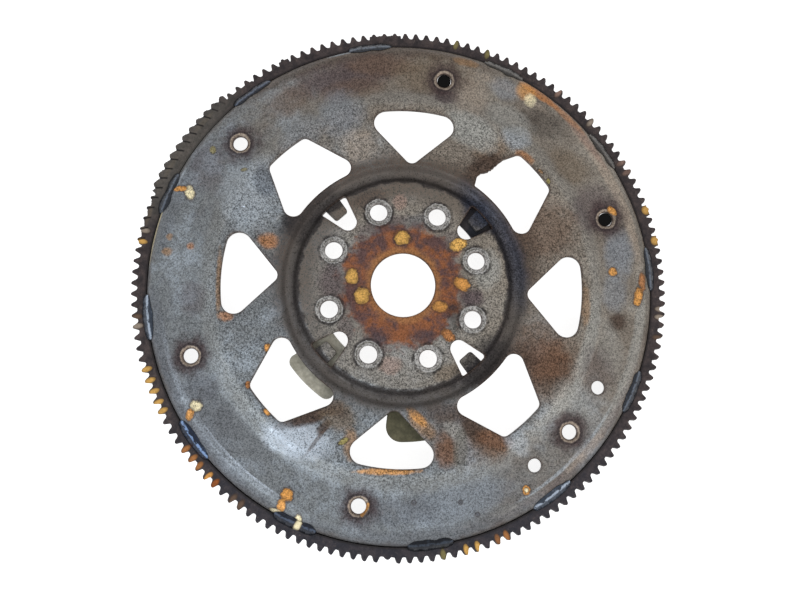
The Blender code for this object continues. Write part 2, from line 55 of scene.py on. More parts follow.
# Plate
SHEET = 2.8
BORE_RADIUS = 19.2
ANNULUS_Z = 18.7
HUB_Z = 23.0
WEB_Z = 23.6
GROOVE_Z = 19.8
SHOULDER_START = 143.5
SHOULDER_RADIUS = 9.7
SKIRT_RADIUS = SHOULDER_START + SHOULDER_RADIUS
SKIRT_END_Z = 2.0
SLOPE_START = 111.0
SLOPE_END = 124.0
PROFILE = ((0, HUB_Z), (62.6, HUB_Z), (65.8, GROOVE_Z), (69.6, GROOVE_Z), (73.4, WEB_Z), (SLOPE_START, WEB_Z))
PROFILE_SOFTNESS = 1.3
PROFILE_STEP = 0.05
# Points inside the plate: their spacing along a row, between rows and between rows round the groove, the turn from
# row to row in steps, and how far they stay from the rims
GRID_STEP, ROW_STEP, GROOVE_STEP, ROW_TURN, GRID_CLEARANCE = 1.75, 1.5225, 0.8, 0.37, 0.55
GROOVE_ZONE = (61.0, 75.0)
RIM_SEGMENTS = 576
# The slight unevenness of the front: height, size, seed. The face lies lower by about as much, inside the CAD's.
UNEVENNESS = ((0.10, 26.0, 1), (0.05, 8.0, 2))
FRONT_DROP = 0.12
# The plate is painted in five regions: the hub inside this radius, and the quadrants anticlockwise from +X
HUB_REGION = 76.0
QUADRANTS = ("upper_right", "upper_left", "lower_left", "lower_right")

# Holes
BOLT_COUNT, BOLT_CIRCLE, BOLT_RADIUS, BOLT_START = 8, 46.2, 5.25, 18.45
CONVERTER_COUNT, CONVERTER_CIRCLE, CONVERTER_RADIUS, CONVERTER_START = 6, 131.5, 4.4, 18.55
PLAIN_RADIUS, PLAIN_ANGLES = 4.05, (306.0, 332.4)
# Windows and pockets: half width at the outer edge, slope of the sides, outer radius, outer and inner fillets, and
# an inner radius where the inner edge isn't an apex
WINDOW_OUTER = 107.7
TRIANGLE = (37.6, 1.083, WINDOW_OUTER, 7.5, 4.5)
TRAPEZOID = (13.9, -0.382, WINDOW_OUTER, 4.0, 6.0, 74.6)
POCKET = (9.5, 0.28, 64.6, 1.3, 5.3)
TRIANGLE_ANGLE, TRAPEZOID_ANGLE = 86.0, 41.0
# Spacing of the points along the outlines
WINDOW_STEP, TORN_STEP, POCKET_STEP, HOLE_STEP = 1.0, 0.5, 0.6, 0.8
# Rims: how far the front face falls at each distance from the edge
STAMPED_RIM = ((0.0, 0.75), (0.22, 0.36), (0.6, 0.1), (1.2, 0.0))
DRILLED_RIM = ((0.0, 0.35), (0.2, 0.1), (0.5, 0.0), (1.1, 0.0))
SUNK_RIM = ((0.0, 0.95), (0.8, 0.42), (1.45, 0.04), (1.8, 0.0))
TORN_RIM = ((0.0, 0.3), (0.12, 0.1), (0.3, 0.0))
EDGE_WEAR = 1.3
# The torn lip across one corner of the upper right window, in that window's own frame
TORN_LIP = ((72.6, 17.3), (74.6, 18.6), (76.2, 19.7), (77.8, 20.7), (79.4, 20.6), (80.9, 20.6), (82.3, 19.5),
            (83.6, 18.9), (84.7, 18.3), (85.9, 18.7), (86.9, 17.8), (87.7, 18.5), (88.6, 17.8), (89.5, 18.4),
            (91.2, 18.0), (93.0, 18.3), (95.0, 18.0), (96.9, 18.0))

# Ring gear
TOOTH_COUNT = 152
FIRST_TOOTH = 89.0
RING_WIDTH = 10.5
RING_BORE = 153.5
ROOT_RADIUS = 159.2
TIP_RADIUS = 162.95
WORN_TOOTH, WORN_HEIGHT = 75, 0.45
# From a root's middle to a crest's middle: share of the tooth's height, share of a pitch from the tooth's centre
TOOTH_SHAPE = ((0.0, 0.5), (0.0, 0.45), (0.03, 0.4), (0.11, 0.355), (0.3, 0.31), (0.5, 0.27), (0.7, 0.23),
               (0.85, 0.195), (0.94, 0.165), (0.985, 0.13), (1.0, 0.07))
# Sections up the teeth: z, how far the tips lie in, share of the lead-in; and the face inside them: radius, z
TOOTH_ROWS = ((0.0, 0.25, 0.0), (0.3, 0.0, 0.0), (4.0, 0.0, 0.0), (8.0, 0.0, 0.0), (9.2, 0.0, 0.5), (10.2, 0.0, 0.9),
              (RING_WIDTH, 0.28, 1.0))
RING_INSIDE = ((157.6, RING_WIDTH), (155.5, RING_WIDTH), (RING_BORE + 0.3, RING_WIDTH), (RING_BORE, RING_WIDTH - 0.3),
               (RING_BORE, 0.3), (RING_BORE + 0.3, 0.0), (157.6, 0.0))
LEAD_IN = 0.13
# Small differences from tooth to tooth
HEIGHT_LOSS, TIP_WOBBLE, LUMPINESS, ROUGHNESS = 0.01, 0.02, 0.5, 0.05
# Dirt caked between the teeth: from, to, share of a tooth's height, and how much it leans on the tooth before it
CAKED = ((10.0, 12.0, 0.8, 0.0), (17.0, 19.0, 0.8, 0.0), (90.5, 97.5, 0.72, 0.3), (117.0, 119.5, 0.7, 0.0),
         (126.0, 134.0, 0.3, 0.0), (158.0, 170.0, 0.9, 0.7))
# Where it stands past the tips: from, to, the radius of its notches and of its peaks, in steps from tooth to tooth
OVERFILLED = (134.0, 158.0, 162.4, 164.7)
NOTCH_SHARE, PEAK_SHARE = 0.11, 0.73


def srgb(red, green, blue):
    """A linear colour from 8-bit display values."""
    def linear(value):
        value /= 255.0
        return value / 12.92 if value <= 0.04045 else ((value + 0.055) / 1.055) ** 2.4

    return (linear(red), linear(green), linear(blue), 1.0)


def polar(radius, degrees):
    """A point in the plan."""
    return radius * math.cos(math.radians(degrees)), radius * math.sin(math.radians(degrees))


def arc(centre, radius, start, end, segments):
    """Points along an arc, both ends included."""
    angles = np.radians(np.linspace(start, end, segments + 1))
    return [(centre[0] + radius * math.cos(a), centre[1] + radius * math.sin(a)) for a in angles]


def ring_points(radius, angles, z=None):
    """Points on a circle, in the plan or at a height. The angles are in radians."""
    columns = [radius * np.cos(angles), radius * np.sin(angles)]
    if z is not None:
        columns.append(np.full(len(angles), z))
    return np.stack(columns, axis=1)


def quads(here, there, across=True):
    """Faces between two closed rows of point numbers, that first go across to the other row or along this one."""
    after, beyond = np.roll(here, -1), np.roll(there, -1)
    order = [here, there, beyond, after] if across else [here, after, beyond, there]
    return np.stack(order, axis=1).tolist()


def turned(points, degrees):
    """Plan points turned round the axis."""
    c, s = math.cos(math.radians(degrees)), math.sin(math.radians(degrees))
    return np.asarray(points) @ np.array([[c, s], [-s, c]])


def resampled(points, step):
    """A closed outline with evenly spaced points."""
    points = np.asarray(points, float)
    closed = np.vstack([points, points[:1]])
    lengths = np.hypot(*np.diff(closed, axis=0).T)
    along = np.concatenate([[0.0], np.cumsum(lengths)])
    at = np.linspace(0.0, along[-1], max(int(along[-1] / step), 12), endpoint=False)
    return np.stack([np.interp(at, along, closed[:, k]) for k in (0, 1)], axis=1)


def offset(outline, distance):
    """A closed anticlockwise outline moved outwards."""
    ahead = np.roll(outline, -1, axis=0) - np.roll(outline, 1, axis=0)
    normal = np.stack([ahead[:, 1], -ahead[:, 0]], axis=1)
    return outline + distance * normal / np.linalg.norm(normal, axis=1, keepdims=True)


def contains(outline, points):
    """Which of the points lie inside a closed outline."""
    inside = np.zeros(len(points), bool)
    for (x1, y1), (x2, y2) in zip(outline, np.roll(outline, -1, axis=0)):
        if y1 == y2:
            continue
        crosses = (y1 > points[:, 1]) != (y2 > points[:, 1])
        inside ^= crosses & (points[:, 0] < (x2 - x1) * (points[:, 1] - y1) / (y2 - y1) + x1)
    return inside


def near_points(outline, points, reach):
    """Numbers of the points in the box round an outline."""
    low, high = outline.min(0) - reach, outline.max(0) + reach
    return np.flatnonzero(((points > low) & (points < high)).all(1))


def corner_centre(half_width, slope, outer_radius, circle_radius, fillet):
    """The centre of a corner fillet that touches a window's straight side."""
    side = half_width - fillet * math.hypot(1.0, slope) - slope * outer_radius
    a = 1.0 + slope * slope
    b = 2.0 * slope * side
    c = side * side - circle_radius * circle_radius
    u = (-b + math.sqrt(b * b - 4.0 * a * c)) / (2.0 * a)
    return u, side + slope * u


def mirrored(upper):
    """A closed outline from its upper half, which starts and ends on the X axis."""
    return upper + [(x, -y) for x, y in reversed(upper[1:-1])]


def window(half_width, slope, outer_radius, outer_fillet, inner_fillet, inner_radius=None):
    """A window symmetrical about +X, with a curved inner edge or an apex."""
    side_normal = math.degrees(math.atan2(1.0, -slope))
    outer = corner_centre(half_width, slope, outer_radius, outer_radius - outer_fillet, outer_fillet)
    outer_angle = math.degrees(math.atan2(outer[1], outer[0]))
    if inner_radius is None:
        apex = outer_radius - (half_width - inner_fillet * math.hypot(1.0, slope)) / slope
        upper = arc((apex, 0.0), inner_fillet, 180.0, side_normal, 16)
    else:
        inner = corner_centre(half_width, slope, outer_radius, inner_radius + inner_fillet, inner_fillet)
        inner_angle = math.degrees(math.atan2(inner[1], inner[0]))
        upper = arc((0.0, 0.0), inner_radius, 0.0, inner_angle, 24)[:-1]
        upper += arc(inner, inner_fillet, inner_angle + 180.0, side_normal, 12)
    upper += arc(outer, outer_fillet, side_normal, outer_angle, 12)
    upper += arc((0.0, 0.0), outer_radius, outer_angle, 0.0, 24)[1:]
    return mirrored(upper)


def new_object(name, data):
    """An object in the scene."""
    obj = bpy.data.objects.new(name, data)
    bpy.context.scene.collection.objects.link(obj)
    return obj


def new_piece(name, points, faces, materials, nodes, sharp=35.0):
    """A smooth-shaded piece, in place of these CAD nodes. Returns its mesh."""
    mesh = bpy.data.meshes.new(name)
    mesh.from_pydata((np.asarray(points, float) * MM).tolist(), [], faces)
    mesh.update()
    mesh.shade_smooth()
    mesh.set_sharp_from_angle(angle=math.radians(sharp))
    for material in materials:
        mesh.materials.append(material)
    obj = new_object(name, mesh)
    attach(obj, "root")
    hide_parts(*nodes)
    return mesh


def ridge_noise(points, scale, seed):
    """Smooth noise between -1 and 1 at each point, for features of this size."""
    shift = Vector((seed * 17.3, seed * 5.1, seed * 9.7))
    return np.array([noise.noise(Vector(p) / scale + shift) for p in points])


def profile_tables():
    """Radii with the heights of the plate's front and back there."""
    radius = np.arange(0.0, SHOULDER_START + 6.0, PROFILE_STEP)
    corners = np.array(PROFILE, float)
    height = np.interp(radius, corners[:, 0], corners[:, 1])
    along = np.clip((radius - SLOPE_START) / (SLOPE_END - SLOPE_START), 0.0, 1.0)
    height += (ANNULUS_Z - WEB_Z) * (1.0 - np.cos(np.pi * along)) / 2.0
    width = int(2 * PROFILE_SOFTNESS / PROFILE_STEP) + 1
    kernel = np.hanning(width + 2)[1:-1]
    padded = np.pad(height, width // 2, mode="edge")
    height = np.convolve(padded, kernel / kernel.sum(), mode="valid")
    slope = np.gradient(height, radius)
    return radius, height, height - SHEET * np.sqrt(1.0 + slope ** 2)


def anticlockwise(outline):
    """The outline, turned round if it runs clockwise."""
    x, y = outline.T
    area = np.sum(x * np.roll(y, -1) - np.roll(x, -1) * y)
    return outline if area > 0 else outline[::-1]


def circle(radius, circle_radius, degrees, step):
    """A round hole's outline."""
    return resampled(arc(polar(circle_radius, degrees), radius, 0.0, 360.0, 72)[:-1], step)


def torn(outline):
    """The window's outline with the torn lip across its inner corner."""
    first_v, last_u = TORN_LIP[0][1], TORN_LIP[-1][0]
    corner = [index for index, (u, v) in enumerate(outline) if v > first_v - 0.3 and u < last_u + 0.3]
    return outline[:corner[0]] + list(TORN_LIP) + outline[corner[-1] + 1:]


def plate_openings():
    """Each opening's outline with its rim."""
    triangle, trapezoid, pocket = window(*TRIANGLE), window(*TRAPEZOID), window(*POCKET)
    found = [(circle(BORE_RADIUS, 0.0, 0.0, 1.0), DRILLED_RIM)]
    for quarter in range(4):
        angle = TRAPEZOID_ANGLE + 90 * quarter
        found.append((resampled(turned(triangle, TRIANGLE_ANGLE + 90 * quarter), WINDOW_STEP), STAMPED_RIM))
        if quarter == 0:
            found.append((resampled(turned(torn(trapezoid), angle), TORN_STEP), TORN_RIM))
        else:
            found.append((resampled(turned(trapezoid, angle), WINDOW_STEP), STAMPED_RIM))
        found.append((resampled(turned(pocket, angle), POCKET_STEP), DRILLED_RIM))
    for k in range(BOLT_COUNT):
        found.append((circle(BOLT_RADIUS, BOLT_CIRCLE, BOLT_START + 45 * k, HOLE_STEP), DRILLED_RIM))
    for k in range(CONVERTER_COUNT):
        angle = CONVERTER_START + 60 * k
        found.append((circle(CONVERTER_RADIUS, CONVERTER_CIRCLE, angle, HOLE_STEP), SUNK_RIM))
    for angle in PLAIN_ANGLES:
        found.append((circle(PLAIN_RADIUS, CONVERTER_CIRCLE, angle, HOLE_STEP), DRILLED_RIM))
    return [(anticlockwise(outline), rim) for outline, rim in found]


def grid_points(openings):
    """Points on rings over the plate, clear of the openings and their rims."""
    rings = []
    radius = BORE_RADIUS + 2.0
    turn = 0
    while radius < SHOULDER_START - 0.8:
        count = int(2 * math.pi * radius / GRID_STEP)
        angles = 2 * np.pi * (np.arange(count) + ROW_TURN * turn) / count
        rings.append(ring_points(radius, angles))
        radius += GROOVE_STEP if GROOVE_ZONE[0] < radius < GROOVE_ZONE[1] else ROW_STEP
        turn += 1
    points = np.concatenate(rings)
    keep = np.ones(len(points), bool)
    for outline, rim in openings:
        reach = rim[-1][0] + GRID_CLEARANCE
        near = near_points(outline, points, reach)
        if len(near) == 0:
            continue
        close = points[near]
        gaps = np.min(np.linalg.norm(close[:, None] - outline[None], axis=2), axis=1)
        keep[near[(gaps < reach) | contains(outline, close)]] = False
    return points[keep]


def plate_plan(openings):
    """The plate's triangulated plan: points, triangles, each point's fall and nearness to an edge, and the loops."""
    blocks, drops, near_edge, constraints, loops = [], [], [], [], []
    start = 0
    for outline, rim in openings:
        for distance, drop in rim:
            block = offset(outline, distance)
            count = len(block)
            index = np.arange(start, start + count)
            constraints.append(np.stack([index, np.roll(index, -1)], axis=1))
            if distance == 0.0:
                loops.append(index)
            blocks.append(block)
            drops.append(np.full(count, drop))
            near_edge.append(np.full(count, max(1.0 - distance / EDGE_WEAR, 0.0)))
            start += count
    rim_angles = 2 * np.pi * np.arange(RIM_SEGMENTS) / RIM_SEGMENTS
    border = ring_points(SHOULDER_START, rim_angles)
    outer_loop = np.arange(start, start + RIM_SEGMENTS)
    constraints.append(np.stack([outer_loop, np.roll(outer_loop, -1)], axis=1))
    grid = grid_points(openings)
    points = np.concatenate(blocks + [border, grid])
    plain = np.zeros(RIM_SEGMENTS + len(grid))
    drop = np.concatenate(drops + [plain])
    edge = np.concatenate(near_edge + [plain])
    edges = np.concatenate(constraints).tolist()
    made = delaunay_2d_cdt([Vector(p) for p in points], edges, [], 0, 1e-5)
    source = np.array([origin[0] for origin in made[3]])
    triangles = source[np.array([face for face in made[2] if len(face) == 3])]
    centres = points[triangles].mean(axis=1)
    keep = np.hypot(*centres.T) < SHOULDER_START
    for outline, _ in openings:
        near = near_points(outline, centres, 0.0)
        keep[near[contains(outline, centres[near])]] = False
    return points, triangles[keep], drop, edge, loops, outer_loop


def lathe_section():
    """The (radius, z) section from the annulus round the shoulder and the skirt to the annulus's back."""
    centre = (SHOULDER_START, ANNULUS_Z - SHOULDER_RADIUS)
    section = arc(centre, SHOULDER_RADIUS, 90.0, 0.0, 14)[1:]
    section += [(SKIRT_RADIUS, 5.0), (SKIRT_RADIUS, SKIRT_END_Z + 0.3), (SKIRT_RADIUS - 0.3, SKIRT_END_Z)]
    inner = SHOULDER_RADIUS - SHEET
    section += [(SHOULDER_START + inner + 0.3, SKIRT_END_Z), (SHOULDER_START + inner, SKIRT_END_Z + 0.3)]
    return section + arc(centre, inner, 0.0, 90.0, 8)[:-1]


def make_plate(materials):
    """The stamped plate, with rolled edges round its openings and a slightly uneven face."""
    plan, triangles, drop, edge, loops, outer_loop = plate_plan(plate_openings())
    radius_table, front_table, back_table = profile_tables()
    radius = np.hypot(*plan.T)
    flat = np.concatenate([plan, np.zeros((len(plan), 1))], axis=1)
    uneven = sum(height * ridge_noise(flat, size, seed) for height, size, seed in UNEVENNESS)
    uneven *= np.clip((SHOULDER_START - radius) / 6.0, 0.0, 1.0)
    front = np.interp(radius, radius_table, front_table) - drop + uneven - FRONT_DROP
    back = np.interp(radius, radius_table, back_table) + np.where(drop > 0.3, 0.12, 0.0)
    front[outer_loop] = ANNULUS_Z
    back[outer_loop] = ANNULUS_Z - SHEET
    count = len(plan)
    points = [np.column_stack([plan, front]), np.column_stack([plan, back])]
    faces = triangles.tolist() + (triangles[:, ::-1] + count).tolist()
    for loop in loops:
        faces += quads(loop, loop + count)
    spin = 2 * np.pi * np.arange(RIM_SEGMENTS) / RIM_SEGMENTS
    rows = [outer_loop]
    start = 2 * count
    for r, z in lathe_section():
        points.append(ring_points(r, spin, z))
        rows.append(np.arange(start, start + RIM_SEGMENTS))
        start += RIM_SEGMENTS
    rows.append(outer_loop + count)
    for here, there in zip(rows, rows[1:]):
        faces += quads(here, there)
    for quarter in range(4):
        tongue, tongue_faces = tongue_mesh(TRAPEZOID_ANGLE + 90 * quarter)
        faces += [[index + start for index in face] for face in tongue_faces]
        points.append(tongue)
        start += len(tongue)
    mesh = new_piece("plate", np.concatenate(points), faces, materials, ["stamped_plate"])
    centres = np.empty(3 * len(faces))
    mesh.polygons.foreach_get("center", centres)
    x, y = centres.reshape(-1, 3)[:, :2].T / MM
    quadrant = (np.degrees(np.arctan2(y, x)) % 360 // 90).astype(np.int32)
    mesh.polygons.foreach_set("material_index", np.where(np.hypot(x, y) < HUB_REGION, 0, 1 + quadrant))
    attribute = mesh.attributes.new("edge", "FLOAT", "POINT")
    attribute.data.foreach_set("value", np.concatenate([edge, edge, np.zeros(start - 2 * count)]))


def prism(outline, low, high, bevel):
    """A flat piece with bevelled top and bottom edges: its points and faces."""
    outline = anticlockwise(np.asarray(outline, float))
    rows = [(-bevel, low), (-0.3 * bevel, low + 0.3 * bevel), (0.0, low + bevel),
            (0.0, high - bevel), (-0.3 * bevel, high - 0.3 * bevel), (-bevel, high)]
    points = [np.column_stack([offset(outline, distance), np.full(len(outline), z)]) for distance, z in rows]
    count = len(outline)
    faces = [list(range(count))[::-1], list(range(5 * count, 6 * count))]
    for row in range(5):
        here = row * count + np.arange(count)
        faces += quads(here, here + count, across=False)
    return np.concatenate(points), faces


def tongue_mesh(degrees):
    """One tongue in its pocket, rooted in the wall of the groove."""
    tip, root = 55.7, 68.0
    upper = [(root, 5.8), (tip + 1.6, 4.75)] + arc((tip + 1.6, 3.1), 1.6, 90.0, 180.0, 6)[1:]
    outline = upper + [(x, -y) for x, y in reversed(upper)]
    points, faces = prism(resampled(outline, 0.7), GROOVE_Z - SHEET + 0.1, GROOVE_Z - 0.12, 0.35)
    dip = np.clip((tip + 2.2 - points[:, 0]) / 2.2, 0.0, 1.0)
    points[:, 2] -= 0.7 * dip ** 1.5
    points[:, :2] = turned(points[:, :2], degrees)
    return points, faces


def caked_radius(degrees, share):
    """How far out the dirt between two teeth reaches, at a share of a pitch past a tooth's centre."""
    start, end, notch, peak = OVERFILLED
    if start <= degrees <= end:
        past = (share - NOTCH_SHARE) % 1.0
        rise = PEAK_SHARE - NOTCH_SHARE
        return notch + (peak - notch) * (past / rise if past < rise else (1.0 - past) / (1.0 - rise))
    past = share % 1.0
    for start, end, level, lean in CAKED:
        if start <= degrees <= end:
            return ROOT_RADIUS + (TIP_RADIUS - ROOT_RADIUS) * level * (1.0 - lean * past)
    return ROOT_RADIUS


def make_ring(material):
    """The ring gear. Each tooth has a lead-in at the front of its clockwise flank."""
    random = np.random.default_rng(SEED)
    pitch = 360.0 / TOOTH_COUNT
    radii, angles, leads = [], [], []
    for tooth in range(TOOTH_COUNT):
        centre = FIRST_TOOTH + tooth * pitch
        height = (TIP_RADIUS - ROOT_RADIUS) * (1.0 - HEIGHT_LOSS * random.random())
        if tooth == WORN_TOOTH:
            height *= WORN_HEIGHT
        wobble = TIP_WOBBLE * (random.random() - 0.5)
        half = [(ROOT_RADIUS + height * rise, share) for rise, share in TOOTH_SHAPE]
        clockwise = [(r, -share, (r - ROOT_RADIUS) / height) for r, share in half]
        other_side = [(r, share, 0.0) for r, share in reversed(half[1:])]
        limit = OVERFILLED[3] if OVERFILLED[0] <= centre % 360.0 <= OVERFILLED[1] else TIP_RADIUS
        for r, share, lead in clockwise + other_side:
            dirt = caked_radius(centre % 360.0, share) + LUMPINESS * (random.random() - 0.5) * (lead == 0.0)
            radii.append(min(max(r, dirt) + ROUGHNESS * (random.random() - 0.5), limit))
            angles.append(centre + (share + wobble * (abs(share) < 0.3)) * pitch)
            leads.append(LEAD_IN * pitch * max(lead, 0.0) ** 0.7)
    radii, angles, leads = np.array(radii), np.array(angles), np.array(leads)
    count = len(radii)
    points = []
    for z, inset, lead in TOOTH_ROWS:
        r = radii - inset * (radii > ROOT_RADIUS + 1.0)
        points.append(ring_points(r, np.radians(angles + lead * leads), z))
    spread = np.radians(FIRST_TOOTH - pitch / 2 + 360.0 * np.arange(count) / count)
    points += [ring_points(r, spread, z) for r, z in RING_INSIDE]
    faces = []
    index = np.arange(count)
    for row in range(len(points)):
        faces += quads(row * count + index, (row + 1) % len(points) * count + index, across=False)
    points = np.concatenate(points)
    radius = np.hypot(points[:, 0], points[:, 1])
    rough = ROUGHNESS * (ridge_noise(points, 1.6, 3) - 1.0) * (points[:, 2] > 1.0)
    points[:, :2] *= (1.0 + rough / radius)[:, None]
    new_piece("starter_ring", points, faces, [material], ["ring_gear"])


# The weld beads' places round the rim, with the look of each
BEADS = ((4.5, "slate"), (34.5, "grey"), (65.0, "grey"), (97.5, "slate"), (127.5, "navy"), (158.0, "slate"),
         (187.0, "pale"), (216.5, "blue"), (245.5, "navy"), (276.0, "black"), (305.5, "pale"), (335.5, "slate"))
# Where a bead ends on the shoulder and half its sweep, both in degrees, how far its toe lies from the ring's bore, and
# how far it stays from the plate and the ring
BEAD_HEEL, BEAD_HALF_SWEEP, BEAD_TOE, BEAD_GAP = 57.0, 5.2, 2.9, 0.3
BEAD_STATIONS, BEAD_TOP_POINTS = 70, 8


def make_bead(number, degrees, material):
    """One weld bead, rippled along its length and rounded at its ends."""
    centre = (SHOULDER_START, ANNULUS_Z - SHOULDER_RADIUS)
    seat = SHOULDER_RADIUS + BEAD_GAP
    floor = RING_WIDTH + BEAD_GAP
    low = math.degrees(math.asin((floor - centre[1]) / seat))
    points = []
    for step in range(BEAD_STATIONS):
        t = 2.0 * step / (BEAD_STATIONS - 1) - 1.0
        size = max(1.0 - abs(t) ** 5, 0.0) ** 0.5
        wave = noise.noise(Vector((number * 3.1, t * 2.2, 0.0)))
        size = (0.12 + 0.88 * size) * (0.94 + 0.2 * wave)
        section = arc(centre, seat, low + (BEAD_HEEL - low) * size, low, 4)
        heel, toe = section[0], (RING_BORE + BEAD_TOE * size, floor)
        section.append(toe)
        ripple = 0.09 * math.sin(34.0 * t + 2.0 * wave)
        for k in range(1, BEAD_TOP_POINTS + 1):
            s = k / (BEAD_TOP_POINTS + 1)
            swell = 0.75 * (0.7 * size + ripple * size) * math.sin(math.pi * s) ** 0.8
            section.append((toe[0] + (heel[0] - toe[0]) * s + swell, toe[1] + (heel[1] - toe[1]) * s + swell))
        angle = degrees + BEAD_HALF_SWEEP * t
        points += [(*polar(r, angle), z) for r, z in section]
    per = len(section)
    faces = [list(range(per)), list(range((BEAD_STATIONS - 1) * per, BEAD_STATIONS * per))[::-1]]
    for step in range(BEAD_STATIONS - 1):
        here = step * per + np.arange(per)
        faces += quads(here, here + per)
    new_piece(f"bead_{number:02d}", points, faces, [material], [f"weld_bead_{number:02d}"], 50.0)


# Balance pads: middle and sweep in degrees, inner and outer radius, fillet of the outer corners, and their steel. The
# three are one steel, painted brighter or in shade: lighter at the lower left to make up for the shade under the
# plate, darker as painted shade at the bottom, darkest as painted shade at the upper right
PADS = {
    "lower_left": (225.0, 25.0, 50.2, 81.9, 4.5, ("pad_steel_painted_bright", (152, 148, 134), (186, 182, 168))),
    "bottom": (277.0, 28.0, 62.0, 92.5, 9.0, ("pad_steel_painted_shade", (72, 70, 54), (98, 94, 74))),
    "upper_right": (41.0, 25.0, 51.5, 72.0, 3.0, ("pad_steel_painted_deep_shade", (36, 38, 46), (62, 58, 60))),
}
PAD_TOP, PAD_THICKNESS = GROOVE_Z - SHEET - 0.3, 2.5
# Converter holes that are closed with grease
PLUGS = ((0, "right"), (1, "top"))
PLUG_RADIUS, PLUG_RINGS, PLUG_AROUND = 4.1, 8, 28


def make_pad(name):
    """One flat balance pad behind the groove."""
    centre, sweep, inner, outer, fillet, steel = PADS[name]
    half = sweep / 2
    bend = math.degrees(math.asin(fillet / (outer - fillet)))
    upper = arc((0.0, 0.0), inner, 0.0, half, 12)
    upper += arc(polar(outer - fillet, half - bend), fillet, half + 90.0, half - bend, 10)
    upper += arc((0.0, 0.0), outer, half - bend, 0.0, 12)[1:]
    outline = turned(mirrored(upper), centre)
    points, faces = prism(resampled(outline, 1.0), PAD_TOP - PAD_THICKNESS, PAD_TOP, 0.4)
    new_piece(f"pad_{name}", points, faces, [pad_material(*steel)], [f"balance_pad_{name}"])


def make_plug(number, name, material):
    """The lumpy black grease in a converter hole."""
    points = [(0.0, 0.0, 0.0)]
    for ring in range(1, PLUG_RINGS + 1):
        for k in range(PLUG_AROUND):
            x, y = polar(PLUG_RADIUS * ring / PLUG_RINGS, 360.0 * k / PLUG_AROUND)
            lump = 0.25 * noise.noise(Vector((x * 0.8, y * 0.8, number * 5.0)))
            points.append((x, y, lump - 0.3 * (ring == PLUG_RINGS)))
    points += [(x, y, -1.4) for x, y, _ in points[-PLUG_AROUND:]]
    faces = [[0, 1 + k, 1 + (k + 1) % PLUG_AROUND] for k in range(PLUG_AROUND)]
    here = 1 + np.arange(PLUG_AROUND)
    for _ in range(PLUG_RINGS):
        faces += quads(here, here + PLUG_AROUND)
        here = here + PLUG_AROUND
    faces.append(here.tolist()[::-1])
    x, y = polar(CONVERTER_CIRCLE, CONVERTER_START + 60 * number)
    points = np.array(points) + (x, y, ANNULUS_Z - 1.35)
    new_piece(f"plug_{name}", points, faces, [material], [f"grease_plug_{name}"])


# Display colours of the metal, its rust and its dirt, also used for painted highlights and painted shade
TONES = {
    "soot": (40, 37, 38), "navy": (42, 47, 60), "umber": (68, 54, 46), "plum": (78, 66, 70),
    "brown": (100, 80, 66), "earth": (108, 94, 78), "slate": (88, 90, 96), "ash": (104, 101, 94),
    "steel": (126, 134, 144), "grey": (146, 146, 142), "pale": (158, 166, 174), "bright": (184, 194, 206),
    "warm": (160, 146, 132), "pink": (150, 122, 110), "olive": (146, 136, 84), "cream": (224, 212, 176),
    "rust": (146, 82, 38), "copper": (168, 112, 64), "orange": (204, 146, 78), "gold": (212, 166, 90),
    "tan": (142, 112, 82), "sienna": (108, 74, 52),
}
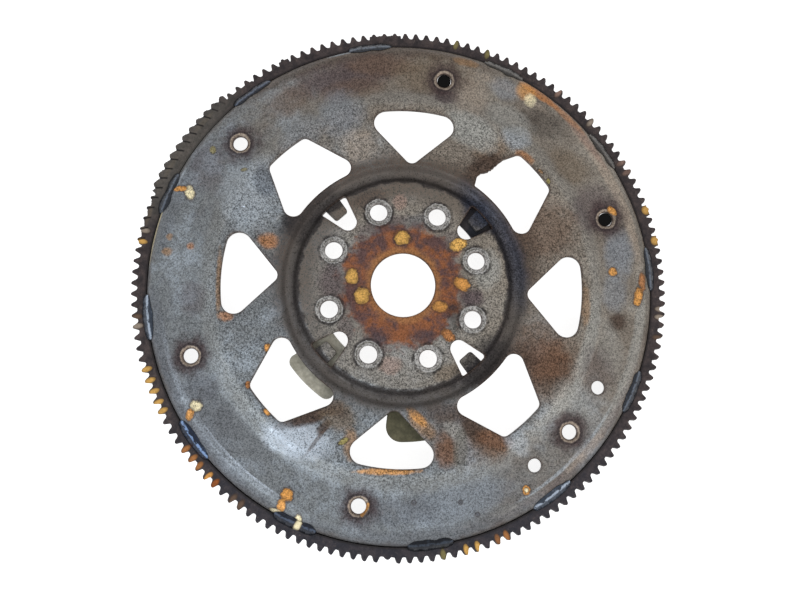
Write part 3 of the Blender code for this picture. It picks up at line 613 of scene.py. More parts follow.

# Soft stains on the plate, with a painted reflection and a painted highlight among them, from the lowest to the
# topmost: x, y, half length, half width, turn, tone, strength
STAINS_AND_PAINTED_LIGHT = (
    # Upper left
    (-32, 131, 36, 11, 15, "plum", 0.75), (-12, 138, 22, 7, 0, "brown", 0.65),
    (-30, 122, 22, 7, 15, "brown", 0.45), (-37, 106, 13, 15, 0, "steel", 0.5),
    (-92, 55, 18, 22, 0, "pale", 0.5), (-83, 62, 6, 10, 15, "navy", 0.45), (-118, 72, 10, 16, 0, "plum", 0.4),
    (-70, 114, 14, 9, 30, "brown", 0.5), (-52, 57, 20, 7, 45, "soot", 0.7),
    (-62, 41, 9, 13, -30, "soot", 0.7), (-27, 85, 10, 10, 0, "warm", 0.45),
    (-80, 26, 6, 4.5, -15, "copper", 0.7), (-108.3, 1, 19, 1.8, 90, "tan", 0.7),
    (-104, -19, 4, 3, 0, "copper", 0.6), (-126.5, 23.5, 2.2, 2.2, 0, "copper", 0.8),
    (-140, 20, 3.2, 2.5, 0, "tan", 0.8), (-139, 29, 2.0, 2.0, 0, "tan", 0.7),
    (-127, 10, 12, 20, 0, "pale", 0.12), (-124, -8, 8, 10, 0, "plum", 0.4),
    (-62, 92, 14, 10, 45, "steel", 0.35),
    # Upper right
    (18, 132, 24, 12, 0, "earth", 0.6), (28, 118, 9, 5, 0, "plum", 0.65), (42, 117, 10, 14, 0, "warm", 0.4),
    (40, 141, 8, 3, -15, "tan", 0.7), (64, 124, 10, 7, -30, "steel", 0.45), (77, 123, 6, 6, 0, "orange", 0.6),
    (79.5, 117, 3.5, 4.2, 0, "cream", 0.7), (88, 102, 16, 9, -15, "soot", 0.4),
    (118, 48, 15, 15, 0, "plum", 0.6), (132, 20, 9, 15, 0, "steel", 0.6), (128, -4, 8, 12, 0, "steel", 0.45),
    (85, 35, 20, 18, 0, "brown", 0.65), (72, 24, 10, 22, 15, "umber", 0.5), (53, 84, 10, 8, 15, "tan", 0.3),
    (50, 73, 13, 7, 30, "umber", 0.9), (70, 92, 9, 8, 0, "pale", 0.6), (66, 104, 16, 8, -30, "grey", 0.55),
    (42, 95, 18, 10, -30, "grey", 0.85), (62, 58, 12, 9, -45, "ash", 0.4),
    (103, 75, 13, 9, -45, "earth", 0.6), (74, 79, 6, 3, -30, "copper", 0.6),
    # Lower left
    # The bright mark at (-62, -90) is a painted reflection of the sky on the lower left web
    (-62, -90, 18, 11, -15, "bright", 0.85), (-107, -52, 10, 16, 0, "pale", 0.1),
    (-100, -90, 30, 16, -45, "slate", 0.25), (-55.5, -77.8, 17, 4.2, 15, "umber", 0.95),
    (-46, -83.2, 5.5, 2.8, 45, "umber", 0.85), (-50.5, -91, 11, 1.2, 52, "umber", 0.6),
    (-38, -77, 11, 8, -30, "earth", 0.7), (-31, -93, 4, 9, 0, "tan", 0.75),
    (-9, -108.7, 17, 2.0, 0, "orange", 0.8), (-120, -60, 12, 8, 0, "slate", 0.55),
    (-112, -78, 22, 12, -60, "slate", 0.35), (-48, -68, 18, 5, -30, "umber", 0.5),
    (-58, -60, 12, 3, -45, "soot", 0.5),
    # Lower right
    (80, -45, 22, 22, 0, "brown", 0.75), (88, -52, 13, 12, 0, "umber", 0.5),
    (84, -45, 14, 12, 0, "sienna", 0.45), (109, -12, 3.0, 12, 0, "tan", 0.55),
    # The warm mark at (108, -98) is a painted highlight along the shoulder's rounding
    (129.9, -21.6, 5.4, 5.4, 0, "umber", 0.85), (108, -98, 16, 3.5, 45, "warm", 0.35),
    (60, -53, 10, 26, -45, "umber", 0.75), (50, -92, 13, 7, -15, "brown", 0.7),
    (10, -82, 11, 4.5, -45, "tan", 0.75), (8, -78, 7, 2.6, -45, "orange", 0.6),
    (38, -90, 22, 16, -15, "brown", 0.4), (30, -86, 8, 4, -45, "grey", 0.5),
    (48, -90, 14, 9, -45, "brown", 0.5), (100, -72, 10, 16, 30, "grey", 0.45),
    (124, -38, 8, 18, 15, "grey", 0.35), (40, -84, 11, 5, -60, "umber", 0.85),
    (24, -75, 14, 6, 0, "umber", 0.7), (25, -98, 6, 9, 0, "brown", 0.7), (23, -97, 6, 9, 0, "sienna", 0.6),
    (52, -91, 10, 5, -15, "sienna", 0.6), (33, -98, 4, 13, 0, "ash", 0.6), (66, -76, 12, 4, 45, "brown", 0.6),
    (30, -128, 34, 10, 15, "steel", 0.5), (66, -92, 10, 6, -45, "pale", 0.5),
    (116, -50, 10, 14, 15, "plum", 0.35), (-6, -132, 26, 8, 0, "slate", 0.45),
    # Hub
    (50, 10, 8, 12, 0, "grey", 0.7), (27, -52, 9, 5, 15, "earth", 0.6), (-20, 52, 10, 6, 15, "umber", 0.5),
)

# Patches of the hub over its rust, with the same columns
HUB_STAINS = (
    (-42, 1, 12, 8, 90, "plum", 0.7), (-12, 36, 16, 5, 15, "plum", 0.6), (12, 38, 12, 5, 0, "slate", 0.55),
    (29, 27, 8, 6, 0, "plum", 0.4), (40, -8, 8, 6, 0, "plum", 0.85), (31, -19, 5, 9, 0, "soot", 0.6),
    (12, -31, 8, 4, 0, "plum", 0.7), (-15.6, -32, 9, 4, 15, "plum", 0.65), (-2, 50, 4, 5, 0, "pink", 0.5),
    (-8, -48, 7, 5, 0, "pink", 0.5), (-34, -26, 5, 8, 0, "plum", 0.5),
)

# Crusts and drips with a crisp edge, with the same columns
DEPOSITS = (
    (-0.5, 28.5, 5.0, 4.2, 0, "gold", 0.95), (-30.5, 5.0, 3.8, 4.9, 0, "gold", 0.9),
    (-24.5, -6.5, 4.6, 4.9, 0, "gold", 0.95), (33.0, 24.5, 5.8, 3.8, 30, "gold", 0.9),
    (35.0, 0.5, 5.3, 3.6, -30, "orange", 0.95), (22.0, -13.0, 4.5, 3.4, 0, "orange", 0.8),
    (26.5, -30.0, 4.5, 3.4, -45, "copper", 0.85), (-128, 56, 3.0, 4.2, 15, "cream", 0.95),
    (-134, 58.5, 4.2, 1.8, 0, "orange", 0.85), (-22.4, -130.6, 4.4, 1.7, 60, "orange", 0.8),
    (-120.5, -71, 3.6, 3.4, 0, "cream", 0.9), (-124, -76, 2.4, 3.6, -15, "orange", 0.8),
    (-67.5, -122, 3.5, 3.9, 0, "orange", 0.95), (-70.5, -128, 2.6, 4.4, -15, "orange", 0.85),
    (-74, -131.5, 4.2, 1.6, -15, "cream", 0.6), (-61, -137, 2.2, 4.0, -15, "cream", 0.95),
    (128.6, 47.0, 3.4, 2.0, -45, "orange", 0.85), (143, -6, 2.8, 6.0, -15, "orange", 0.9),
    (146, 3, 2.4, 6.0, 0, "copper", 0.75), (128, 9, 2.6, 2.6, 0, "orange", 0.85),
    (72, -120.5, 2.6, 2.6, 0, "orange", 0.85), (72, -120.5, 1.3, 1.3, 0, "cream", 0.9),
    (-79.5, -37.5, 2.0, 2.6, 0, "orange", 0.9), (-90, -59, 1.8, 2.2, 0, "copper", 0.9),
    (-79, -74.5, 2.6, 1.6, -45, "orange", 0.9), (-35, -91.5, 3.5, 1.6, 30, "olive", 0.85),
    (-115, 82.5, 2.0, 2.4, 0, "olive", 0.6), (-95.5, 70, 2.2, 1.3, 0, "olive", 0.6),
    (-95, 46.5, 1.6, 0.8, 0, "bright", 0.9), (84, 70, 2.0, 0.9, -45, "tan", 0.8),
    (88.5, 64, 1.2, 1.8, 0, "olive", 0.8), (43, -134, 1.4, 1.4, 0, "slate", 0.8),
    (6, -127, 1.4, 1.4, 0, "slate", 0.8), (33, -127, 1.4, 1.4, 0, "slate", 0.8),
)

# Dark patches over the groove, with the same columns
GROOVE_PATCHES = (
    (47.0, -46.0, 11.0, 20.0, -45, "soot", 0.8), (-56.0, 44.0, 10.0, 21.0, -45, "soot", 0.6),
    (45.5, 42.5, 13.0, 7.5, -45, "navy", 0.9),
)
# A patch of the web with more pits: x, y, half length, half width, turn
PITTED = (-60.0, -90.0, 24.0, 15.0, -30)
# Stains narrower than this have a finer edge, crusts wider than this stand out, a hole's halo reaches this far, and
# another mark reaches this many times its half length
SMALL_STAIN, THICK_CRUST, HALO_REACH, MARK_REACH = 3.6, 3.3, 20.0, 1.6

# Marks that follow the rim: radius, degrees, half width, half length in degrees, tone, strength. The bright, pale,
# grey, warm and cream ones are painted highlights on the slope and along the shoulder's rounding, and the thin pale
# and cream lines by the ring are bare edges with a painted highlight on them; the copper and pink ones are rust
SECTORS = (
    (147.0, -166, 5.0, 15, "slate", 0.55), (143.4, -142, 2.2, 25, "bright", 0.35),
    (141.6, -133, 0.7, 12, "bright", 0.7), (149.0, -142, 3.6, 26, "slate", 0.55),
    (143.4, -46, 1.1, 15, "pale", 0.6), (145.0, -16, 3.4, 22, "grey", 0.6),
    (116.5, -22, 4.5, 24, "grey", 0.6), (147.5, -42, 3.0, 24, "plum", 0.35),
    (144.5, 24, 3.2, 20, "warm", 0.6), (148.6, 54.5, 3.0, 5.5, "copper", 0.85),
    (148.2, 46, 2.6, 6, "copper", 0.55), (146.0, 38, 2.6, 7, "pink", 0.5),
    (148.0, 100, 5.0, 34, "umber", 0.6), (146.0, 160, 5.0, 14, "slate", 0.4),
    (152.0, 166, 0.9, 8, "cream", 0.7), (150.9, 104.6, 0.9, 3, "pale", 0.7),
    (149.0, 154.3, 0.9, 3, "pale", 0.6), (148.0, -88, 5.0, 24, "slate", 0.45),
    (141.0, 62, 2.5, 12, "warm", 0.35), (149.5, 5, 2.0, 16, "ash", 0.4),
)

# Rusty and dirty tooth tips: degrees, tone, strength
TOOTH_STAINS = (
    (27.5, "pink", 0.5), (30, "pink", 0.5), (41.5, "warm", 0.7), (51.5, "pink", 0.8), (70, "olive", 0.6),
    (77.5, "olive", 0.6), (167.5, "warm", 0.8), (170, "gold", 0.8), (186.5, "brown", 0.8),
    (188.5, "warm", 0.8), (198, "gold", 0.85), (200.5, "gold", 0.85), (203, "gold", 0.85),
    (205.5, "gold", 0.85), (207.5, "gold", 0.8), (217, "copper", 0.85), (219.5, "copper", 0.85),
    (221.5, "copper", 0.85), (224.5, "orange", 1.0), (226.5, "rust", 0.9), (231.5, "brown", 0.85),
    (233.5, "brown", 0.85), (278.5, "olive", 0.6), (283.5, "gold", 0.9), (286, "gold", 0.9),
    (290.5, "copper", 0.6), (292.5, "copper", 0.9), (349, "brown", 0.8), (353.6, "warm", 0.9),
    (355.4, "warm", 0.8),
)
TOOTH_STAIN_RADIUS = 159.8
# Caked dirt on the ring: radius, degrees, half width, half length in degrees, tone, strength
EARTHY = ((160.0, 152.5, 1.4, 2.8, "earth", 0.5), (160.0, 164.0, 1.4, 2.2, "earth", 0.5),
          (160.0, 140.0, 1.4, 3.0, "earth", 0.5))
GOLDEN = ((160.6, 10.84, 2.7, 1.05, "gold", 0.8), (160.6, 17.95, 2.7, 1.05, "gold", 0.8))
OVERFILL_DIRT = (159.0, 148.0, 8.0, 17.0, "ash", 0.5)


def display(tone, share=1.0):
    """The linear colour of a tone's name or of display values, dimmed to a share of them."""
    return srgb(*(share * value for value in TONES.get(tone, tone)))


def fill(node, inputs):
    """Joins a node's inputs to these sockets, or sets them to these values."""
    for key, value in inputs.items():
        if isinstance(value, bpy.types.NodeSocket):
            node.id_data.links.new(value, node.inputs[key])
        else:
            node.inputs[key].default_value = value


def new_node(tree, kind, inputs, **settings):
    """A node with these settings and inputs."""
    node = tree.nodes.new(kind)
    for key, value in settings.items():
        setattr(node, key, value)
    fill(node, inputs)
    return node


class Graph:
    """Builds a material's nodes. Coordinates are in millimetres in the row frame."""

    def __init__(self, name):
        self.material = bpy.data.materials.new(name)
        self.material.use_nodes = True
        self.tree = self.material.node_tree
        self.shader = self.tree.nodes["Principled BSDF"]
        object_point = self.add("ShaderNodeTexCoord").outputs["Object"]
        millimetres = {"Vector": object_point, "Scale": (1000.0, 1000.0, 1000.0)}
        self.point = self.add("ShaderNodeMapping", millimetres).outputs[0]
        place = self.vector("SCALE", object_point, scale=1000.0)
        self.x, self.y, self.z = (self.vector("DOT_PRODUCT", place, axis) for axis in Matrix.Identity(3))
        self.plan = self.vector("MULTIPLY", place, (1.0, 1.0, 0.0))
        self.turned_plans = {0: self.plan}
        self.radius = self.vector("LENGTH", self.plan)
        self.degrees = self.math("DEGREES", self.math("ARCTAN2", self.y, self.x))
        self.unrolled = self.combined(self.radius, self.degrees)

    def add(self, kind, inputs=None, **settings):
        return new_node(self.tree, kind, inputs or {}, **settings)

    def math(self, operation, *values):
        return self.add("ShaderNodeMath", dict(enumerate(values)), operation=operation).outputs[0]

    def times(self, first, second):
        return self.math("MULTIPLY", first, second)

    def vector(self, operation, *values, **inputs):
        """A vector operation. The scale comes by name."""
        inputs = {key.title(): value for key, value in inputs.items()} | dict(enumerate(values))
        node = self.add("ShaderNodeVectorMath", inputs, operation=operation)
        return node.outputs["Value"] if operation in ("LENGTH", "DISTANCE", "DOT_PRODUCT") else node.outputs[0]

    def combined(self, first, second):
        """Two numbers as a vector's first two."""
        return self.add("ShaderNodeCombineXYZ", {0: first, 1: second}).outputs[0]

    def noise(self, size, detail=3.0, roughness=0.55, distortion=0.0, seed=0.0):
        """Noise with features of this size in millimetres."""
        inputs = {"Vector": self.point, "W": seed, "Scale": 1.0 / size, "Detail": detail, "Roughness": roughness,
                  "Distortion": distortion}
        return self.add("ShaderNodeTexNoise", inputs, noise_dimensions="4D").outputs[0]

    def ramp(self, value, low, high, bottom=0.0, top=1.0, kind="SMOOTHSTEP"):
        """A smooth step of value from low to high."""
        inputs = {"Value": value, "From Min": low, "From Max": high, "To Min": bottom, "To Max": top}
        return self.add("ShaderNodeMapRange", inputs, interpolation_type=kind).outputs[0]

    def plus(self, base, value, factor):
        """The base with a multiple of a value added."""
        return self.math("MULTIPLY_ADD", value, factor, base)

    def band(self, value, start, full, fade, end, top=1.0):
        """A step up and down again."""
        return self.times(self.ramp(value, start, full, 0.0, top), self.ramp(value, fade, end, 1.0, 0.0))

    def centred(self, value, reach):
        """A noise value spread to about plus or minus reach."""
        return self.math("MULTIPLY_ADD", value, 4.0 * reach, -2.0 * reach)

    def mix(self, factor, first, second):
        return self.add("ShaderNodeMix", {0: factor, 6: first, 7: second}, data_type="RGBA").outputs[2]

    def blend(self, factor, first, second):
        """A mix of two tones."""
        return self.mix(factor, display(first), display(second))

    def over(self, colour, tone, *masks):
        """The colour with a tone over it, as far as all of the masks allow."""
        mask = masks[0]
        for other in masks[1:]:
            mask = self.times(mask, other)
        return self.mix(mask, colour, display(tone))

    def oval(self, x, y, half_length, half_width, turn=0, plan=None):
        """Squared distance from a point in the plan, which is 1 on an oval round it."""
        if plan is None:
            c, s = polar(1.0, turn)
            if turn not in self.turned_plans:
                self.turned_plans[turn] = self.combined(self.vector("DOT_PRODUCT", self.plan, (c, s, 0.0)),
                                                        self.vector("DOT_PRODUCT", self.plan, (-s, c, 0.0)))
            x, y = x * c + y * s, y * c - x * s
            plan = self.turned_plans[turn]
        away = self.vector("MULTIPLY_ADD", plan, (1.0 / half_length, 1.0 / half_width, 0.0),
                           (-x / half_length, -y / half_width, 0.0))
        return self.vector("DOT_PRODUCT", away, away)

    def rim_oval(self, radius, degrees, half_width, half_length):
        """The same round a point on the rim, with its half length in degrees."""
        return self.oval(radius, math.remainder(degrees, 360.0), half_width, half_length, 0, self.unrolled)

    def stained(self, colour, oval, wander, tone, strength):
        """The colour with a soft patch of a tone over it."""
        return self.over(colour, tone, self.ramp(self.math("ADD", oval, wander), 1.7, 0.2, 0.0, strength))

    def crusted(self, colour, oval, fray, tone, strength):
        """The colour with a crisp patch of a tone and its dark outline over it, and the patch's mask."""
        far = self.math("ADD", oval, fray)
        outlined = self.over(colour, "umber", self.ramp(far, 2.0, 1.1, 0.0, 0.6 * strength))
        mask = self.ramp(far, 1.15, 0.75, 0.0, strength)
        heart = self.ramp(far, 0.9, 0.1)
        return self.mix(mask, outlined, self.mix(heart, display(tone, 0.8), display(tone, 1.06))), mask

    def grained(self, colour, grain, low, high):
        """The colour with a fine grain of light and dark."""
        return self.vector("SCALE", colour, scale=self.ramp(grain, 0.3, 0.7, low, high, "LINEAR"))

    def bump(self, height, depth):
        """Bump of this depth in millimetres."""
        return self.add("ShaderNodeBump", {"Height": height, "Distance": depth * MM}).outputs[0]

    def finish(self, colour, roughness, normal, metallic, specular):
        """The material with these on its shader."""
        fill(self.shader, {"Base Color": colour, "Roughness": roughness, "Normal": normal, "Metallic": metallic,
                           "Specular IOR Level": specular})
        return self.material


def marks_in(region, marks):
    """The marks that touch a region of the plate."""
    return [mark for mark in marks if reaches(region, *mark[:2], MARK_REACH * max(mark[2:4]))]


def reaches(region, x, y, reach):
    """Whether a mark of this reach touches a region of the plate."""
    far = math.hypot(x, y)
    if region == "hub":
        return far - reach < HUB_REGION
    if far + reach < HUB_REGION:
        return False
    x, y = turned((x, y), -90 * QUADRANTS.index(region))
    return x > -reach and y > -reach


def plate_material(region):
    """Bare stamped steel: mottled grey with the grime, rust, stains and drips of one region of the plate, and with
    painted highlights, a painted reflection and painted shade.
    """
    g = Graph(f"worn_steel_{region}")
    big = g.noise(34.0, 4.0, 0.55, distortion=0.6, seed=2)
    middle = g.noise(8.0, 5.0, 0.62, distortion=0.4, seed=5)
    grain = g.noise(0.85, 2.0, 0.8, seed=9)
    wander = g.centred(g.noise(7.0, 4.0, 0.6, seed=31), 0.45)
    fray = g.centred(g.noise(2.6, 3.0, 0.6, seed=33), 0.5)
    colour = plate_ground(g, big, middle)
    colour = rim_zones(g, colour, wander, region)
    colour = sooted(g, colour, wander, grain)
    for *place, tone, strength in marks_in(region, STAINS_AND_PAINTED_LIGHT):
        edge = fray if min(place[2:4]) < SMALL_STAIN else wander
        colour = g.stained(colour, g.oval(*place), edge, tone, strength)
    colour = grooved(g, colour, wander, grain)
    rust, colour = hub_rust(g, colour, wander, middle)
    if region == "hub":
        for *place, tone, strength in HUB_STAINS:
            colour = g.stained(colour, g.oval(*place), wander, tone, strength)
        for k in range(BOLT_COUNT):
            colour = bolt_mark(g, colour, polar(BOLT_CIRCLE, BOLT_START + 45 * k), fray)
    for k in range(CONVERTER_COUNT):
        place = polar(CONVERTER_CIRCLE, CONVERTER_START + 60 * k)
        if reaches(region, *place, HALO_REACH):
            colour = converter_mark(g, colour, place, wander, fray)
    crust = 0.0
    for *place, tone, strength in marks_in(region, DEPOSITS):
        colour, mask = g.crusted(colour, g.oval(*place), fray, tone, strength)
        if min(place[2:4]) > THICK_CRUST:
            crust = g.math("MAXIMUM", mask, crust)
    pitted = g.ramp(g.oval(*PITTED), 1.4, 0.2, 0.0, 0.09)
    pits = g.ramp(g.math("ADD", grain, pitted), 0.65, 0.7)
    colour = g.mix(g.times(pits, 0.6), colour, display("umber"))
    edge = g.add("ShaderNodeAttribute", attribute_name="edge").outputs["Fac"]
    colour = g.over(colour, "umber", edge, g.ramp(middle, 0.35, 0.6, 0.35, 0.9))
    contrast = g.times(g.ramp(g.radius, 36.0, 42.0, 0.5, 1.0), g.ramp(g.radius, 108.0, 122.0, 5.6, 3.6))
    share = g.math("MULTIPLY_ADD", g.math("SUBTRACT", grain, 0.5), contrast, 1.03)
    colour = g.vector("SCALE", colour, scale=g.math("MAXIMUM", share, 0.3))
    relief = g.math("MULTIPLY_ADD", grain, 0.7, g.times(crust, 0.6))
    roughness = g.math("MAXIMUM", g.ramp(middle, 0.3, 0.7, 0.38, 0.6), g.times(rust, 0.75))
    metallic = g.math("MULTIPLY_ADD", rust, -0.45, 0.5)
    return g.finish(colour, roughness, g.bump(relief, 0.16), metallic, 0.2)


def plate_ground(g, big, middle):
    """The mottled ground: bluish at the lower left, a painted reflection of the sky, and browner towards the upper
    right.
    """
    side = g.math("ADD", g.times(g.x, -0.0065), g.times(g.y, -0.0055))
    # Painted reflection of the sky: the ground turns bluish towards the lower left
    cool = g.ramp(g.math("ADD", side, g.centred(big, 0.5)), -0.7, 0.6)
    colour = g.blend(cool, (120, 112, 103), (114, 118, 121))
    lighter_mottle = g.ramp(g.math("ADD", middle, big), 0.92, 1.3, 0.0, 0.75)
    colour = g.mix(lighter_mottle, colour, g.blend(cool, (144, 138, 129), (152, 161, 170)))
    darker_mottle = g.ramp(g.math("SUBTRACT", middle, big), 0.0, 0.3, 0.0, 0.55)
    return g.mix(darker_mottle, colour, g.blend(cool, (84, 73, 66), (86, 86, 90)))


def rim_zones(g, colour, wander, region):
    """The slope with a painted highlight, the flat annulus, and the shoulder with painted shade on its outer rounding
    and low down against the ring, with the marks that run along the rim.
    """
    far = g.plus(g.radius, wander, 5.0)
    # Painted highlight on the slope
    colour = g.over(colour, "grey", g.band(g.radius, 110.0, 114.0, 118.0, 124.0, 0.3))
    # Painted shade where the shoulder rolls down at its outer edge
    colour = g.over(colour, "umber", g.ramp(far, 148.0, 152.5, 0.0, 0.5))
    for radius, degrees, width, length, tone, strength in SECTORS:
        if reaches(region, *polar(radius, degrees), MARK_REACH * radius * math.radians(length)):
            colour = g.stained(colour, g.rim_oval(radius, degrees, width, length), wander, tone, strength)
    # Painted shade low down, where the skirt meets the ring
    return g.over(colour, "soot", g.ramp(g.z, 12.8, 11.2, 0.0, 0.9))


def sooted(g, colour, wander, grain):
    """The greyer hub and the speckled soot on both sides of the groove."""
    colour = g.over(colour, (134, 127, 117), g.ramp(g.radius, 63.0, 60.5, 0.0, 0.6))
    far = g.plus(g.radius, wander, 4.5)
    speckled = g.ramp(grain, 0.4, 0.56)
    upper = g.ramp(g.y, -40.0, 40.0, 0.35, 1.0)
    colour = g.over(colour, "umber", g.band(far, 68.0, 72.0, 73.0, 85.0), upper, speckled)
    upper_left = g.ramp(g.plus(g.y, g.x, -0.8), -30.0, 45.0, 0.0, 0.7)
    return g.over(colour, "umber", g.band(far, 44.0, 58.0, 62.0, 66.0), speckled, upper_left)


def grooved(g, colour, wander, grain):
    """The dark groove, with its black inner edge, darker and bluer towards the upper right, and its dark patches."""
    far = g.plus(g.radius, wander, 4.5)
    right = g.ramp(g.math("SUBTRACT", g.x, g.math("ABSOLUTE", g.math("SUBTRACT", g.y, 42.0))), 0.0, 32.0)
    speckled = g.blend(g.ramp(grain, 0.42, 0.56), (112, 105, 99), (70, 64, 61))
    dark = g.over(speckled, (54, 57, 68), right)
    colour = g.mix(g.band(far, 60.5, 64.0, 70.0, 78.0, 0.86), colour, dark)
    colour = g.over(colour, "soot", g.band(far, 61.0, 62.6, 64.0, 69.0, 0.72))
    for *place, tone, strength in GROOVE_PATCHES:
        colour = g.stained(colour, g.oval(*place), wander, tone, strength)
    return colour


def hub_rust(g, colour, wander, middle):
    """The rust round the bore: its mask and the colour with it."""
    rust = g.ramp(g.plus(g.radius, wander, 14.0), 40.0, 33.0)
    rusty = g.blend(g.ramp(middle, 0.4, 0.58), (148, 88, 50), (92, 62, 60))
    rusty = g.over(rusty, "copper", g.ramp(g.plus(g.radius, wander, 5.0), 25.0, 20.0))
    return rust, g.mix(g.times(rust, 0.9), colour, rusty)


def bolt_mark(g, colour, place, fray):
    """The bright ring that a bolt's head left round its hole."""
    away = g.math("ADD", g.vector("DISTANCE", g.plan, (*place, 0.0)), fray)
    patchy = g.ramp(g.noise(5.0, 2.0, 0.5, seed=60), 0.4, 0.6, 0.25, 0.85)
    colour = g.over(colour, "soot", g.band(away, 7.4, 8.3, 8.9, 10.4), patchy)
    colour = g.over(colour, (168, 167, 166), g.ramp(away, 8.4, 7.6, 0.0, 0.85))
    return g.over(colour, "ash", g.band(away, 6.2, 6.8, 7.2, 7.8), patchy)


def converter_mark(g, colour, place, wander, fray):
    """The dark halo of a converter hole, with a painted highlight on its sunk rim and a dark ring round that."""
    away = g.vector("DISTANCE", g.plan, (*place, 0.0))
    colour = g.over(colour, (62, 49, 50), g.ramp(g.plus(away, wander, 9.0), 16.0, 6.5, 0.0, 0.88))
    rim = g.math("ADD", away, fray)
    # Painted highlight on the sunk rim
    colour = g.over(colour, "warm", g.band(rim, 4.3, 5.2, 5.8, 6.5, 0.8))
    return g.over(colour, "soot", g.band(rim, 6.3, 6.9, 7.1, 7.9, 0.5))


def gear_material():
    """Dark oily steel, with rust on some teeth and caked dirt between others, painted shade on the flanks, towards the
    back and where the ring meets the plate, and painted shadows beside the overfilled dirt.
    """
    g = Graph("dark_gear_steel")
    middle = g.noise(5.0, 4.0, 0.6, seed=3)
    grain = g.noise(1.6, 3.0, 0.7, seed=4)
    fray = g.centred(grain, 0.25)
    colour = g.blend(g.ramp(middle, 0.35, 0.7), (54, 49, 51), (82, 72, 71))
    colour = g.over(colour, (40, 46, 58), g.ramp(g.y, -60.0, -140.0, 0.0, 0.5))
    colour = g.over(colour, (96, 84, 76), g.ramp(grain, 0.55, 0.72, 0.0, 0.5))
    # Painted shade where the ring's bore meets the plate's shoulder
    colour = g.over(colour, "soot", g.ramp(g.radius, 155.2, 154.2, 0.0, 0.8))
    for degrees, tone, strength in TOOTH_STAINS:
        colour, _ = g.crusted(colour, g.rim_oval(TOOTH_STAIN_RADIUS, degrees, 3.4, 0.62), fray, tone, strength)
    for *place, tone, strength in EARTHY:
        colour = g.stained(colour, g.rim_oval(*place), fray, tone, strength)
    for *place, tone, strength in GOLDEN:
        colour, _ = g.crusted(colour, g.rim_oval(*place), fray, tone, strength)
    gap_shadow = overfill_gap_shadow(g)
    *place, tone, strength = OVERFILL_DIRT
    colour = g.stained(colour, g.rim_oval(*place), fray, tone, strength)
    # Painted shadows beside the overfilled dirt
    colour = g.over(colour, (20, 18, 20), gap_shadow)
    # Painted shade on the flanks and lead-ins below the front face
    flank = g.times(g.ramp(g.z, 10.3, 9.9), g.ramp(g.z, 0.4, 0.8))
    colour = g.mix(g.times(flank, 0.75), colour, display((26, 24, 26)))
    # Painted shade, darker towards the back of the ring
    colour = g.over(colour, "soot", g.ramp(g.z, 8.0, 4.0, 0.0, 0.6))
    colour = g.grained(colour, grain, 0.6, 1.4)
    return g.finish(colour, g.ramp(grain, 0.3, 0.7, 0.4, 0.65), g.bump(grain, 0.15), 0.3, 0.2)


def overfill_gap_shadow(g):
    """Painted shadows: the slanted dark lines between the teeth where the dirt stands past their tips."""
    turns = TOOTH_COUNT / 360.0
    share = g.math("FRACT", g.math("MULTIPLY_ADD", g.degrees, turns, -FIRST_TOOTH * turns))
    slanted = g.math("FRACT", g.math("ADD", share, g.ramp(g.radius, 158.2, 162.8, 0.64, 0.39)))
    gap_shadow = g.times(g.band(slanted, 0.38, 0.46, 0.54, 0.62), g.band(g.degrees, 130.0, 138.0, 168.0, 174.0))
    return g.times(gap_shadow, g.ramp(g.radius, 157.6, 158.8, 0.0, 0.92))


# A drip that runs over a navy bead: x, y, half length, half width, turn
DRIP_ON_BEAD = (-61.5, -140.0, 5.5, 2.0, 60)
# Each tint: the weld's dark colour, and the light colour of its painted highlight and glints
WELD_TINTS = {
    "black": ((20, 23, 30), (50, 58, 70)),
    "navy": ((26, 30, 40), (72, 82, 100)),
    "blue": ((26, 34, 50), (124, 150, 190)),
    "slate": ((36, 40, 48), (84, 92, 104)),
    "pale": ((50, 58, 70), (158, 170, 186)),
    "grey": ((50, 47, 45), (86, 82, 78)),
}


def weld_material(tint):
    """Glossy weld metal of one tint, with a painted highlight along its crest, painted glints, and painted shade low
    down against the ring.
    """
    g = Graph(f"{tint}_weld_metal")
    middle = g.noise(3.0, 3.0, 0.6, seed=3)
    dark, light = WELD_TINTS[tint]
    far = g.plus(g.radius, middle, 2.4)
    # The light colour is a painted highlight along the crest band and painted glints in noisy patches
    crest = g.times(g.band(far, 152.2, 153.0, 153.6, 154.6), g.ramp(middle, 0.36, 0.5))
    colour = g.blend(g.math("MAXIMUM", crest, g.ramp(middle, 0.55, 0.8, 0.0, 0.5)), dark, light)
    # Painted shade low on the bead, where it meets the ring
    colour = g.over(colour, "soot", g.ramp(g.z, 12.2, 11.0, 0.0, 0.8))
    if tint == "navy":
        colour, _ = g.crusted(colour, g.oval(*DRIP_ON_BEAD), 0.0, "cream", 0.95)
    return g.finish(colour, g.ramp(middle, 0.3, 0.7, 0.22, 0.4), g.bump(middle, 0.12), 0.6, 0.3)


def pad_material(name, dark, light):
    """Dull steel of a balance pad, between a dark and a light colour that set how bright or shaded it is painted."""
    g = Graph(name)
    middle = g.noise(6.0, 4.0, 0.6, seed=8)
    grain = g.noise(1.8, 3.0, 0.7, seed=9)
    colour = g.blend(g.ramp(middle, 0.3, 0.7), dark, light)
    colour = g.grained(colour, grain, 0.75, 1.2)
    return g.finish(colour, 0.6, g.bump(grain, 0.12), 0.2, 0.2)


def grease_material():
    """Hardened black grease."""
    g = Graph("black_grease")
    fine = g.noise(0.9, 3.0, 0.6, seed=3)
    return g.finish(g.blend(fine, (4, 4, 4), (16, 15, 15)), 0.75, g.bump(fine, 0.2), 0.0, 0.1)


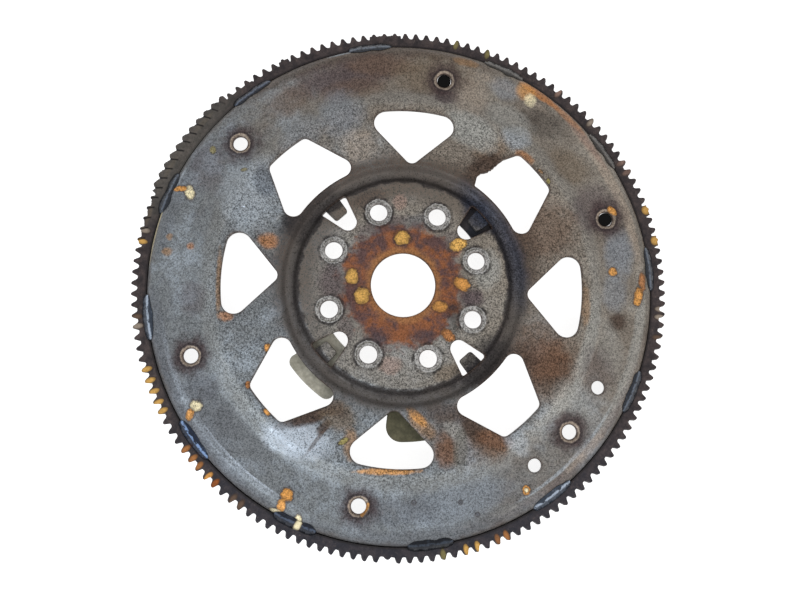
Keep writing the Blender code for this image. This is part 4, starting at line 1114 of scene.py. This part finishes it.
# The camera: picture width and focal length in pixels, sensor width, turn and place
IMAGE_WIDTH, FOCAL_PIXELS, SENSOR = 803, 797.5, 36.0
CAMERA_TURN = (-0.123027, 0.0476387)
CAMERA_OFFSET = (-0.9954, -9.1528, 474.888)
CAMERA_DATUM_Z = 21.6
# Lamps: name, place in metres, size, power and tint
LAMPS = (
    ("cool_lamp", (-0.75, -0.75, 0.95), 0.6, 6.0, (0.88, 0.95, 1.0)),
    ("warm_lamp", (0.9, -0.6, 0.9), 0.8, 4.0, (1.0, 0.94, 0.88)),
)
WHITE = (1.0, 1.0, 1.0, 1.0)
# The background's strength where it is seen and as a light, the floor's own where it is seen, and its half width and
# height in metres
BACKGROUND_SEEN, BACKGROUND_LIGHT = 1.0, 0.5
FLOOR_SEEN, FLOOR_REACH, FLOOR_Z = 0.85, 3.0, -0.0005
FLOOR_TINTS = ((0.78, 0.78, 0.78, 1.0), (0.80, 0.80, 0.80, 1.0))


def make_camera():
    """The photograph's camera, which looks down on the plate."""
    data = bpy.data.cameras.new("camera")
    data.sensor_width = SENSOR
    data.lens = SENSOR * FOCAL_PIXELS / IMAGE_WIDTH
    data.clip_start = 0.01
    camera = new_object("camera", data)
    turn = Vector((*CAMERA_TURN, 0.0))
    rotation = Matrix.Rotation(turn.length, 4, turn.normalized()).transposed()
    place = rotation @ Vector(CAMERA_OFFSET) + Vector((0.0, 0.0, CAMERA_DATUM_Z))
    camera.matrix_world = Matrix.Translation(place * MM) @ rotation
    bpy.context.scene.camera = camera


def make_lamp(name, place, size, power, tint):
    """A soft square lamp aimed at the plate."""
    data = bpy.data.lights.new(name, "AREA")
    data.color = tint
    data.size = size
    data.energy = power
    lamp = new_object(name, data)
    lamp.location = place
    lamp.rotation_mode = "QUATERNION"
    lamp.rotation_quaternion = (-Vector(place)).to_track_quat("-Z", "Y")


def seen_or_not(tree, seen, otherwise):
    """One number for what the camera and reflections see, and another for the light that falls on things."""
    path = new_node(tree, "ShaderNodeLightPath", {}).outputs
    rays = {0: path["Is Camera Ray"], 1: path["Is Glossy Ray"]}
    either = new_node(tree, "ShaderNodeMath", rays, operation="MAXIMUM").outputs[0]
    return new_node(tree, "ShaderNodeMapRange", {"Value": either, "To Min": otherwise, "To Max": seen}).outputs[0]


def make_world():
    """A white background that gives soft light."""
    world = bpy.data.worlds.new("studio")
    bpy.context.scene.world = world
    world.use_nodes = True
    strength = seen_or_not(world.node_tree, BACKGROUND_SEEN, BACKGROUND_LIGHT)
    fill(world.node_tree.nodes["Background"], {"Color": WHITE, "Strength": strength})


def make_floor():
    """A pale floor that keeps the shadow."""
    material = bpy.data.materials.new("pale_floor")
    material.use_nodes = True
    tree = material.node_tree
    low, high = FLOOR_TINTS
    grain = new_node(tree, "ShaderNodeTexNoise", {"Scale": 60.0}).outputs[0]
    tint = new_node(tree, "ShaderNodeMix", {0: grain, 6: low, 7: high}, data_type="RGBA").outputs[2]
    fill(tree.nodes["Principled BSDF"], {
        "Base Color": tint, "Roughness": 0.9, "Specular IOR Level": 0.0,
        "Emission Color": WHITE, "Emission Strength": seen_or_not(tree, FLOOR_SEEN, 0.0),
    })
    mesh = bpy.data.meshes.new("floor")
    sides = ((-1, -1), (1, -1), (1, 1), (-1, 1))
    mesh.from_pydata([(FLOOR_REACH * x, FLOOR_REACH * y, FLOOR_Z) for x, y in sides], [], [(0, 1, 2, 3)])
    mesh.materials.append(material)
    floor = new_object("floor", mesh)


def corners(bounds):
    """A box as plain numbers."""
    return [list(corner) for corner in bounds]


def main():
    """Builds the scene round the frame."""
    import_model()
    bpy.context.scene.view_settings.view_transform = "Standard"
    make_camera()
    make_world()
    make_floor()
    for lamp in LAMPS:
        make_lamp(*lamp)
    make_plate([plate_material(region) for region in ("hub", *QUADRANTS)])
    make_ring(gear_material())
    welds = {tint: weld_material(tint) for tint in WELD_TINTS}
    for number, (degrees, tint) in enumerate(BEADS, start=1):
        make_bead(number, degrees, welds[tint])
    for name in PADS:
        make_pad(name)
    grease = grease_material()
    for number, name in PLUGS:
        make_plug(number, name, grease)


main()
